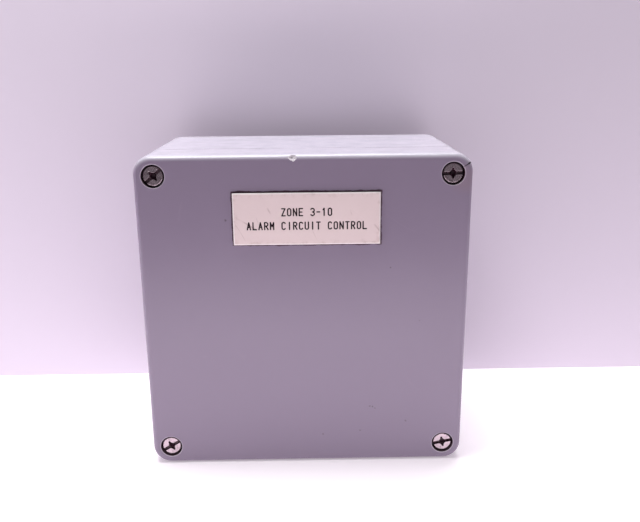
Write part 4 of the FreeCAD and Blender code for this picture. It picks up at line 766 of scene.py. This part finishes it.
ZINC = Finish("zinc_plate", (0.62, 0.63, 0.66), (0.50, 0.50, 0.51), smooth=0.25, rough=0.42, metallic=1.0,
              mottle_scale=130.0, mottle=0.8, grain_scale=1600.0, grain_height=0.006, wear_and_sheen=0.4,
              wear_and_sheen_colour=(0.80, 0.80, 0.82), scratch=0.25, scratch_colour=(0.42, 0.42, 0.43),
              scratch_width=0.01)
TINNED = Finish("tinned_copper", (0.72, 0.70, 0.66), (0.60, 0.56, 0.50), smooth=0.25, rough=0.4, metallic=1.0,
                mottle_scale=300.0)
POLYAMIDE = Finish("grey_polyamide", (0.33, 0.33, 0.31), (0.29, 0.29, 0.275), smooth=0.42, rough=0.58,
                   grain_scale=1500.0, grain_height=0.01, wear_and_sheen=0.3, wear_and_sheen_colour=(0.48, 0.48, 0.46))
EARTH_GREEN = Finish("earth_polyamide", (0.08, 0.33, 0.06), (0.07, 0.28, 0.05), smooth=0.42, rough=0.58,
                     grain_scale=1500.0, grain_height=0.01)
TAG_WHITE = Finish("tag_white", (0.78, 0.77, 0.74), (0.72, 0.71, 0.67), smooth=0.35, rough=0.5)
TRAY_BLACK = Finish("tray_black", (0.022, 0.022, 0.025), (0.032, 0.032, 0.035), smooth=0.4, rough=0.6,
                    wear_and_sheen=0.3, wear_and_sheen_colour=(0.12, 0.12, 0.12), grain_scale=1200.0, grain_height=0.012)
MASK_GREEN = Finish("solder_mask", (0.010, 0.115, 0.045), (0.008, 0.090, 0.036), smooth=0.16, rough=0.3,
                    mottle_scale=90.0, grain_scale=3000.0, grain_height=0.002, coat=0.4)
TRACK_GREEN = Finish("masked_copper", (0.050, 0.215, 0.085), (0.040, 0.180, 0.070), smooth=0.22, rough=0.35,
                     dust_and_sheen=0.05, mottle_scale=300.0, grain_height=0.004, coat=0.4)
BLOCK_GREEN = Finish("block_green", (0.020, 0.24, 0.075), (0.016, 0.20, 0.062), smooth=0.4, rough=0.55,
                     wear_and_sheen=0.3, wear_and_sheen_colour=(0.10, 0.38, 0.16))
RELAY_BLUE = Finish("relay_blue", (0.025, 0.10, 0.36), (0.020, 0.085, 0.31), smooth=0.25, rough=0.4)
SLEEVE = Finish("can_sleeve", (0.012, 0.020, 0.060), (0.018, 0.028, 0.075), smooth=0.2, rough=0.35)
ARRESTER = Finish("arrester_epoxy", (0.03, 0.13, 0.40), (0.025, 0.11, 0.34), smooth=0.2, rough=0.35,
                  grain_scale=600.0, grain_height=0.03)
CHIP = Finish("chip_epoxy", (0.018, 0.018, 0.020), (0.026, 0.026, 0.028), smooth=0.45, rough=0.6)
LAMP = Finish("lamp_lens", (0.90, 0.55, 0.04), (0.86, 0.50, 0.03), smooth=0.08, rough=0.16, dust_and_sheen=0.05)
WIRE_RED = Finish("wire_red", (0.50, 0.020, 0.016), (0.43, 0.016, 0.013), smooth=0.3, rough=0.45)
WIRE_BLACK = Finish("wire_black", (0.016, 0.016, 0.018), (0.026, 0.026, 0.028), smooth=0.3, rough=0.45)
WIRE_EARTH = Finish("wire_green_yellow", (0.10, 0.36, 0.05), (0.55, 0.50, 0.05), smooth=0.3, rough=0.45,
                    mottle_scale=120.0, mottle=1.0)


# Sub-assemblies -----------------------------------------------------------------------------------

def heading(path: list[Vector], index: int) -> Vector:
    """Way along a path at one of its points.

    Args:
        path: The path's points.
        index: Which of them.

    Returns:
        The step from the point before it to the one after.
    """
    return path[min(index + 1, len(path) - 1)] - path[max(index - 1, 0)]


def loft(build: Build, rings: list[list[bmesh.types.BMVert]]) -> None:
    """Join rings of vertices into one closed body.

    Args:
        build: Where the faces go.
        rings: The rings in order along the body, all with as many vertices.
    """
    for first, second in zip(rings, rings[1:]):
        for corner in range(len(first)):
            build.faces.new((first[corner], first[corner - 1], second[corner - 1], second[corner]))
    build.faces.new(rings[0])
    build.faces.new(rings[-1])


def body_of(name: str, build: Build, finish: Finish) -> bpy.types.Object:
    """Turn a build into a dressed object of the scene.

    Args:
        name: The object's name.
        build: Its shape, in metres; it's freed.
        finish: Its finish.

    Returns:
        The object.
    """
    bmesh.ops.recalc_face_normals(build, faces=build.faces)
    mesh = bpy.data.meshes.new(name)
    build.to_mesh(mesh)
    build.free()
    body = bpy.data.objects.new(name, mesh)
    bpy.context.scene.collection.objects.link(body)
    finish.dress(body)
    return body


def dress(finish: Finish, *names: str) -> None:
    """Give a finish to CAD nodes by name and report them.

    Args:
        finish: The finish.
        names: Node names.
    """
    for name in names:
        finish.dress(NODES[name])
        log.info("%s dressed in %s", name, finish.name)


class Case:
    """The moulded base and lid with their seal."""

    def dress(self) -> None:
        """Dress the mouldings, the seal and the brass inserts."""
        dress(GREY_CASE, "base", "lid")
        dress(FOAM, "lid_gasket")
        dress(BRASS, "lid_inserts")
        Damage(NODES["lid"]).build()


class Damage:
    """A chip in the lid's top front edge and cracks in its upper right corner, cut by hidden bodies."""

    chip_middle = (-4.9, -91.1, 79.30)
    chip_radius = 2.6
    chip_roughness = 0.60
    crack_front = ((74.9, -90.3, 73.4, 0.22), (76.0, -90.3, 74.1, 0.30), (77.0, -90.1, 74.7, 0.45),
                   (77.8, -89.6, 75.1, 1.00), (78.5, -88.8, 75.5, 0.80), (79.3, -88.0, 75.9, 0.10))
    crack_side = ((74.8, -63.0, 79.3, 1.9), (74.6, -66.5, 79.4, 1.9), (74.9, -70.0, 79.3, 1.4),
                  (74.7, -74.0, 79.4, 1.5), (74.9, -79.0, 79.3, 0.9), (75.0, -84.0, 79.2, 0.1))
    crack_depth = 1.6
    crack_reach = 0.6
    crack_root = 0.3
    chip_squeeze = 0.9
    weld_gap = 1e-6

    def __init__(self, lid: bpy.types.Object) -> None:
        """Take the lid.

        Args:
            lid: The lid's object.
        """
        self.lid = lid

    def cutter(self, name: str, build: Build, finish: Finish) -> None:
        """Hide one cutting body in the lid and cut with it.

        Args:
            name: The body's name.
            build: Its shape, in metres.
            finish: The finish of the cut faces.
        """
        body = body_of(name, build, finish)
        body.parent = self.lid
        body.hide_render = True
        body.hide_viewport = True
        cut = self.lid.modifiers.new(name, "BOOLEAN")
        cut.operation = "DIFFERENCE"
        cut.solver = "EXACT"
        cut.material_mode = "TRANSFER"
        cut.object = body

    def chip(self) -> Build:
        """Uneven ball that leaves a shell-shaped chip."""
        build = bmesh.new()
        bmesh.ops.create_icosphere(build, subdivisions=4, radius=self.chip_radius * MM)
        middle = Vector(self.chip_middle) * MM
        for vert in build.verts:
            swell = noise.noise(vert.co * 900.0) + 0.5 * noise.noise(vert.co * 2300.0)
            vert.co += vert.co.normalized() * swell * self.chip_roughness * MM
            vert.co.x *= self.chip_squeeze
            vert.co += middle
        return build

    def crack(self, path: tuple[tuple[float, float, float, float], ...]) -> Build:
        """Thin wedge that follows a crack.

        Args:
            path: Places on the surface with the crack's width there, in millimetres.

        Returns:
            The wedge.
        """
        build = bmesh.new()
        rings = []
        points = [Vector(p[:3]) * MM for p in path]
        for index, point in enumerate(points):
            ahead = heading(points, index)
            inward = Vector((BORE_X, point.y + 0.02, BORE_X)) - point
            inward = (inward - ahead * (inward.dot(ahead) / ahead.length_squared)).normalized()
            side = ahead.cross(inward).normalized() * (path[index][3] / 2 * MM)
            root = point + inward * self.crack_depth * MM
            outer = point - inward * self.crack_reach * MM
            narrow = side * self.crack_root
            corners = (outer - side, outer + side, root + narrow, root - narrow)
            rings.append([build.verts.new(corner) for corner in corners])
        loft(build, rings)
        return build

    def build(self) -> None:
        """Cut the chip and the cracks."""
        weld = self.lid.modifiers.new("weld", "WELD")
        weld.merge_threshold = self.weld_gap
        self.cutter("chip_body", self.chip(), FRACTURE)
        self.cutter("crack_front_body", self.crack(self.crack_front), CRACK_FACE_DARK)
        self.cutter("crack_side_body", self.crack(self.crack_side), CRACK_FACE_DARK)
        log.info("lid chipped and cracked")


class LidScrews:
    """The four captive lid screws with their washers and rings."""

    corners = ("top_left", "top_right", "bottom_left", "bottom_right")

    def dress(self) -> None:
        """Dress the screws, washers and retaining rings."""
        for corner in self.corners:
            dress(STAINLESS, f"lid_screw_{corner}")
            dress(NYLON, f"screw_washer_{corner}")
        dress(NYLON, "screw_retainers")


class Nameplate:
    """The engraved plate on the lid."""

    def dress(self) -> None:
        """Dress the plate, the letters' fill and the adhesive."""
        dress(PLATE_WHITE, "nameplate")
        dress(FILL_DARK, "nameplate_fill")
        dress(GLUE, "nameplate_adhesive")


class Inside:
    """Everything behind the lid."""

    finishes: tuple[tuple[Finish, tuple[str, ...]], ...] = (
        (ZINC, ("mounting_plate", "plate_screws", "din_rail", "rail_screws", "terminal_screws",
                "end_stop_screws", "tray_screws", "board_screws", "line_terminal_screws")),
        (POLYAMIDE, ("terminal_bodies", "terminal_end_plate", "end_stops")),
        (EARTH_GREEN, ("earth_terminal",)),
        (TAG_WHITE, ("terminal_markers",)),
        (TRAY_BLACK, ("isolator_tray",)),
        (MASK_GREEN, ("isolator_board",)),
        (BLOCK_GREEN, ("line_terminals",)),
        (RELAY_BLUE, ("isolator_relay",)),
        (SLEEVE, ("smoothing_capacitors",)),
        (ARRESTER, ("surge_arresters",)),
        (CHIP, ("switch_chips",)),
        (LAMP, ("status_lamp",)),
        (TINNED, ("terminal_bars", "wire_ferrules", "earth_lug")),
        (BRASS, ("bonding_plate", "bonding_screws", "earth_stud", "earth_nuts", "earth_washers")),
        (WIRE_RED, ("link_wires_red",)),
        (WIRE_BLACK, ("link_wires_black",)),
        (WIRE_EARTH, ("link_wires_screen", "earth_wire")),
    )

    def dress(self) -> None:
        """Dress every inner piece."""
        for finish, names in self.finishes:
            dress(finish, *names)
        BoardFittings().build()


@dataclass(frozen=True)
class Block:
    """A straight-sided space, by its lowest and highest corners in metres."""

    low: Vector
    high: Vector

    def clear_of(self, other: "Block", margin: float) -> bool:
        """Whether this one keeps off another on the board's face.

        Args:
            other: The other space.
            margin: The least gap, in metres.

        Returns:
            True where they're at least that far apart.
        """
        return any(self.low[axis] > other.high[axis] + margin or self.high[axis] < other.low[axis] - margin
                   for axis in (0, 2))


def solids_of(name: str) -> list[Block]:
    """The spaces taken by a CAD node's separate solids.

    Args:
        name: The node's name.

    Returns:
        One block for each solid, from left to right.
    """
    build = bmesh.new()
    build.from_mesh(NODES[name].data)
    bmesh.ops.remove_doubles(build, verts=build.verts, dist=1e-6)
    left, blocks = set(build.verts), []
    while left:
        stack, places = [left.pop()], []
        while stack:
            vert = stack.pop()
            places.append(vert.co.copy())
            near = {edge.other_vert(vert) for edge in vert.link_edges} & left
            left -= near
            stack.extend(near)
        low = Vector(min(place[axis] for place in places) for axis in range(3))
        high = Vector(max(place[axis] for place in places) for axis in range(3))
        blocks.append(Block(low, high))
    build.free()
    return sorted(blocks, key=lambda block: (round(block.low.x, 5), round(block.low.z, 5)))


@dataclass(frozen=True)
class LegSizes:
    """Bent legs of a chip, in millimetres."""

    pitch: float = 1.27
    width: float = 0.42
    thick: float = 0.20
    tuck: float = 0.20
    knee: float = 0.35
    ankle: float = 0.60
    toe: float = 1.30


@dataclass(frozen=True)
class ResistorSizes:
    """A surface resistor, in millimetres."""

    length: float = 2.0
    width: float = 1.25
    height: float = 0.5
    cap: float = 0.38


class BoardFittings:
    """Legs of the chips, solder, printed tracks and surface resistors of the isolator board."""

    legs = LegSizes()
    resistor = ResistorSizes()
    track_width = 0.45
    track_height = 0.04
    track_gap = 0.9
    track_margin = 1.2
    solder_radius = 0.55
    solder_sides = 12
    solder_rings = ((1.0, 0.0), (0.82, 0.22), (0.45, 0.40))
    resistors = 14
    resistor_gap = 2.4
    resistor_margin = 3.0
    draws = 900
    bevel = 0.07
    neighbours = ("isolator_relay", "smoothing_capacitors", "surge_arresters", "switch_chips", "status_lamp",
                  "line_terminals", "board_screws")

    def __init__(self) -> None:
        """Measure the board and what stands on it."""
        self.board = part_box("isolator_board")
        self.chips = solids_of("switch_chips")
        self.face = self.chips[0].high.y
        self.taken = [block for name in self.neighbours for block in solids_of(name)]

    def finish(self, name: str, build: Build, look: Finish, slot: str) -> None:
        """Turn a build into a dressed piece that rides on the base.

        Args:
            name: The piece's name.
            build: Its shape.
            look: Its finish.
            slot: The record's material slot; not used.
        """
        piece = body_of(name, build, look)
        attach(piece, "base")
        log.info("%s built with %d faces", name, len(piece.data.polygons))

    def corners(self, build: Build, point: Vector, side: Vector, up: Vector) -> list[bmesh.types.BMVert]:
        """Add four vertices round a point.

        Args:
            build: Where they go.
            point: Their middle.
            side: From the middle to one side.
            up: From the middle to the top.

        Returns:
            The vertices in order.
        """
        return [build.verts.new(point + across * side + lift * up)
                for across, lift in ((-1, -1), (1, -1), (1, 1), (-1, 1))]

    def strip(self, build: Build, path: list[Vector], width: Vector, thick: float) -> None:
        """Add a flat strip bent along a path.

        Args:
            build: Where it goes.
            path: Its middle line.
            width: Half its width, as a vector.
            thick: Its thickness.
        """
        rings = []
        for index, point in enumerate(path):
            up = heading(path, index).cross(width).normalized() * (thick / 2)
            rings.append(self.corners(build, point, width, up))
        loft(build, rings)

    def solder(self, build: Build, x: float, z: float, radius: float) -> None:
        """Add one mound of solder.

        Args:
            build: Where it goes.
            x: Its place across, in metres.
            z: Its place up, in metres.
            radius: Its radius, in metres.
        """
        rings = []
        turns = [math.tau * step / self.solder_sides for step in range(self.solder_sides)]
        for reach, lift in self.solder_rings:
            rings.append([build.verts.new((x + radius * reach * math.cos(turn), self.face - radius * lift,
                                           z + radius * reach * math.sin(turn))) for turn in turns])
        loft(build, rings)

    def feet(self, chip: Block) -> list[tuple[float, float, int]]:
        """Where a chip's legs stand: place across, edge of the body and way out."""
        count = int((chip.high.x - chip.low.x) / MM / self.legs.pitch)
        middle = (chip.low.x + chip.high.x) / 2
        across = [middle + (k - (count - 1) / 2) * self.legs.pitch * MM for k in range(count)]
        return [(x, edge, way) for x in across for edge, way in ((chip.high.z, 1), (chip.low.z, -1))]

    def build_legs(self, build: Build) -> None:
        """Add the legs of every chip and the solder under them."""
        size = self.legs
        for chip in self.chips:
            knee_y = (chip.low.y + chip.high.y) / 2
            foot_y = self.face - size.thick / 2 * MM
            for x, edge, way in self.feet(chip):
                places = ((knee_y, -size.tuck), (knee_y, size.knee), (foot_y, size.ankle), (foot_y, size.toe))
                path = [Vector((x, y, edge + way * out * MM)) for y, out in places]
                self.strip(build, path, Vector((size.width / 2 * MM, 0.0, 0.0)), size.thick * MM)

    def build_tracks(self, tracks: Build, joints: Build) -> None:
        """Add a track from each leg, bent once, with solder at its far end."""
        level = self.face - self.track_height / 2 * MM
        for chip in self.chips:
            middle = (chip.low.x + chip.high.x) / 2
            for x, edge, way in self.feet(chip):
                order = abs(x - middle) / MM
                start = edge + way * self.legs.toe * MM
                turn = start + way * (0.5 + 0.35 * order) * MM
                lean = math.copysign(1.0, x - middle) * (0.8 + 0.55 * order) * MM
                end = turn + way * abs(lean)
                last = end + way * (0.6 + (order % 2.0)) * MM
                path = [Vector((x, level, edge + way * self.legs.ankle * MM)), Vector((x, level, turn)),
                        Vector((x + lean, level, end)), Vector((x + lean, level, last))]
                nearer, farther = sorted((end, last))
                reach = Block(Vector((x + lean, 0.0, nearer)), Vector((x + lean, 0.0, farther)))
                if not all(reach.clear_of(block, self.track_gap * MM) for block in self.taken):
                    path = path[:2]
                margin = self.track_margin * MM
                if not self.board[0].z + margin < path[-1].z < self.board[1].z - margin:
                    continue
                self.line(tracks, path)
                self.solder(joints, path[-1].x, path[-1].z, self.solder_radius * MM)

    def line(self, build: Build, path: list[Vector]) -> None:
        """Add one printed track along a path on the board's face."""
        half, high = self.track_width / 2 * MM, self.track_height / 2 * MM
        rings = []
        for index, point in enumerate(path):
            ahead = heading(path, index).normalized()
            side = Vector((ahead.z, 0.0, -ahead.x)) * half
            rings.append(self.corners(build, point, side, Vector((0.0, high, 0.0))))
        loft(build, rings)

    def spots(self) -> list[tuple[float, float, bool]]:
        """Free places for the resistors and whether each stands upright."""
        draw = random.Random(7)
        size, found = self.resistor, []
        taken = list(self.taken)
        margin = self.resistor_margin * MM
        for _ in range(self.draws):
            upright = draw.random() < 0.5
            wide, tall = (size.width, size.length) if upright else (size.length, size.width)
            x = draw.uniform(self.board[0].x + margin, self.board[1].x - margin)
            z = draw.uniform(self.board[0].z + margin, self.board[1].z - margin)
            space = Block(Vector((x - wide / 2 * MM, 0.0, z - tall / 2 * MM)),
                          Vector((x + wide / 2 * MM, 0.0, z + tall / 2 * MM)))
            free = all(space.clear_of(block, self.resistor_gap * MM) for block in taken)
            if len(found) < self.resistors and free:
                found.append((x, z, upright))
                taken.append(space)
        return found

    def brick(self, build: Build, middle: Vector, size: Vector) -> None:
        """Add a brick with bevelled edges."""
        shape = Matrix.Translation(middle) @ Matrix.Diagonal((*size, 1.0))
        made = bmesh.ops.create_cube(build, size=1.0, matrix=shape)
        edges = list({edge for vert in made["verts"] for edge in vert.link_edges})
        bmesh.ops.bevel(build, geom=edges, offset=self.bevel * MM, segments=2, affect="EDGES")

    def build_resistors(self, bodies: Build, caps: Build) -> None:
        """Add the surface resistors: bodies in one build and end caps in the other."""
        size = self.resistor
        for x, z, upright in self.spots():
            along = Vector((0.0, 0.0, 1.0)) if upright else Vector((1.0, 0.0, 0.0))
            across = Vector((1.0, 0.0, 0.0)) if upright else Vector((0.0, 0.0, 1.0))
            depth = Vector((0.0, 1.0, 0.0))
            middle = Vector((x, self.face - size.height / 2 * MM, z))
            self.brick(bodies, middle, (along * (size.length - 2 * size.cap) + across * size.width * 0.96
                                        + depth * size.height) * MM)
            for way in (-1, 1):
                end = middle + along * way * (size.length - size.cap) / 2 * MM
                cap = along * size.cap + across * size.width + depth * size.height * 1.02
                self.brick(caps, end, cap * MM)

    def build(self) -> None:
        """Build every small fitting of the board."""
        metal, tracks, bodies = bmesh.new(), bmesh.new(), bmesh.new()
        self.build_legs(metal)
        self.build_tracks(tracks, metal)
        self.build_resistors(bodies, metal)
        self.finish("board_solder_and_legs", metal, TINNED, "tinned_copper")
        self.finish("board_tracks", tracks, TRACK_GREEN, "circuit_green")
        self.finish("board_resistors", bodies, CHIP, "chip_black")


# Studio -------------------------------------------------------------------------------------------

@dataclass(frozen=True)
class SoftBox:
    """A soft light of four straight sides that points at a place."""

    name: str
    place: Point
    target: Point
    width: float
    length: float
    watts: float
    colour: Colour = (1.0, 1.0, 1.0)
    mirrored: bool = False

    def build(self) -> None:
        """Make the light; only a mirrored one shows in reflections."""
        data = bpy.data.lights.new(self.name, "AREA")
        data.shape = "RECTANGLE"
        data.size = self.width
        data.size_y = self.length
        data.energy = self.watts
        data.color = self.colour
        light = bpy.data.objects.new(self.name, data)
        light.location = self.place
        aim = Vector(self.target) - Vector(self.place)
        light.rotation_euler = aim.to_track_quat("-Z", "Y").to_euler()
        light.visible_camera = False
        light.visible_glossy = self.mirrored
        bpy.context.scene.collection.objects.link(light)


@dataclass(frozen=True)
class Viewpoint:
    """The camera, from the middle of the front face at its foot, in millimetres and degrees."""

    right: float = 2.71
    ahead: float = -332.14
    height: float = 201.46
    yaw: float = 0.813
    pitch: float = -15.616
    roll: float = -0.475
    lens: float = 40.11
    sensor: float = 36.0

    def build(self) -> None:
        """Make the camera and use it for the scene."""
        yaw, pitch, roll = (math.radians(angle) for angle in (self.yaw, self.pitch, self.roll))
        forward = Vector((math.sin(yaw) * math.cos(pitch), math.cos(yaw) * math.cos(pitch), math.sin(pitch)))
        level = Vector((math.cos(yaw), -math.sin(yaw), 0.0))
        above = level.cross(forward)
        right = level * math.cos(roll) + above * math.sin(roll)
        up = above * math.cos(roll) - level * math.sin(roll)
        data = bpy.data.cameras.new("camera")
        data.sensor_width = self.sensor
        data.lens = self.lens
        data.clip_start = 0.01
        camera = bpy.data.objects.new("camera", data)
        low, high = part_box("lid")
        foot = Vector(((low.x + high.x) / 2, low.y, low.z))
        place = foot + Vector((self.right, self.ahead, self.height)) * MM
        turn = Matrix((right, up, -forward)).transposed().to_4x4()
        camera.matrix_world = Matrix.Translation(place) @ turn
        bpy.context.scene.collection.objects.link(camera)
        bpy.context.scene.camera = camera


@dataclass(frozen=True)
class Paper:
    """Matte paper of the floor or the wall; a one-sided one lets light through from behind."""

    name: str
    colour: Colour
    one_sided: bool = False
    glow: float = 0.0

    def material(self) -> bpy.types.Material:
        """Build the paper.

        Returns:
            Its material.
        """
        made = bpy.data.materials.new(self.name)
        made.use_nodes = True
        shader = made.node_tree.nodes["Principled BSDF"]
        shader.inputs["Base Color"].default_value = (*self.colour, 1.0)
        shader.inputs["Roughness"].default_value = 0.9
        shader.inputs["Specular IOR Level"].default_value = 0.1
        shader.inputs["Emission Color"].default_value = (*self.colour, 1.0)
        shader.inputs["Emission Strength"].default_value = self.glow
        if self.one_sided:
            sheet = Sheet(made.node_tree)
            behind = sheet.add("NewGeometry").outputs["Backfacing"]
            shadow = sheet.add("LightPath").outputs["Is Shadow Ray"]
            clear = sheet.maths("MAXIMUM", behind, shadow)
            through = sheet.add("BsdfTransparent").outputs[0]
            mixed = sheet.add("MixShader", {0: clear, 1: shader.outputs[0], 2: through}).outputs[0]
            sheet.feed(made.node_tree.nodes["Material Output"].inputs["Surface"], mixed)
        return made


class Studio:
    """Floor, wall, lights and camera, in metres."""

    reach = 1.6
    floor_front = 0.46
    wall_gap = 0.022
    wall_height = 0.9
    floor = Paper("floor_paper", (0.95, 0.90, 0.94), glow=0.28)
    wall = Paper("wall_paper", (0.73, 0.66, 0.76), one_sided=True)
    sky = (0.98, 0.92, 1.0, 1.0)
    sky_strength = 0.18
    middle = (0.0, -0.06, 0.0)
    foot_tint = (1.0, 0.96, 0.97)
    side_tint = (1.0, 0.96, 1.0)

    def sheet(self, paper: Paper, corners: list[Point]) -> None:
        """Lay one sheet of paper.

        Args:
            paper: The paper.
            corners: Its four corners, counter-clockwise seen from its front.
        """
        mesh = bpy.data.meshes.new(paper.name)
        mesh.from_pydata(corners, [], [(0, 1, 2, 3)])
        mesh.materials.append(paper.material())
        laid = bpy.data.objects.new(paper.name, mesh)
        bpy.context.scene.collection.objects.link(laid)

    def world(self) -> None:
        """Even soft light from all round."""
        world = bpy.data.worlds.new("studio")
        world.use_nodes = True
        background = world.node_tree.nodes["Background"]
        background.inputs["Color"].default_value = self.sky
        background.inputs["Strength"].default_value = self.sky_strength
        bpy.context.scene.world = world

    def lights(self, low: float) -> None:
        """Set the key above, the narrow fill at the foot of the front and a fill on each side.

        Args:
            low: The floor's height.
        """
        SoftBox("key", (-0.04, -0.005, 0.62), self.middle, 0.6, 0.28, 6.8, mirrored=True).build()
        SoftBox("low_fill", (0.0, -0.29, low + 0.025), (0.0, -0.09, low + 0.05), 0.5, 0.05, 0.22,
                self.foot_tint).build()
        for side, watts in ((-1, 0.75), (1, 0.35)):
            SoftBox("side_fill", (side * 0.55, -0.05, 0.10), self.middle, 0.35, 0.35, watts,
                    self.side_tint).build()

    def build(self) -> None:
        """Set the stage."""
        low = CAD_BOUNDS[0][2]
        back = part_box("base")[1].y + self.wall_gap
        far, near = self.reach, -self.floor_front
        high = self.wall_height
        self.sheet(self.floor, [(-far, near, low), (far, near, low), (far, far, low), (-far, far, low)])
        self.sheet(self.wall, [(-far, back, low), (far, back, low), (far, back, high), (-far, back, high)])
        self.lights(low)
        self.world()
        Viewpoint().build()
        bpy.context.scene.view_settings.view_transform = "Standard"


def main() -> None:
    """Build and dress the box, then the studio."""
    logging.basicConfig(level=logging.INFO, format="%(name)s: %(message)s")
    for part in (Case(), LidScrews(), Nameplate(), Inside()):
        part.dress()
    Studio().build()


if __name__ == "__main__":
    main()
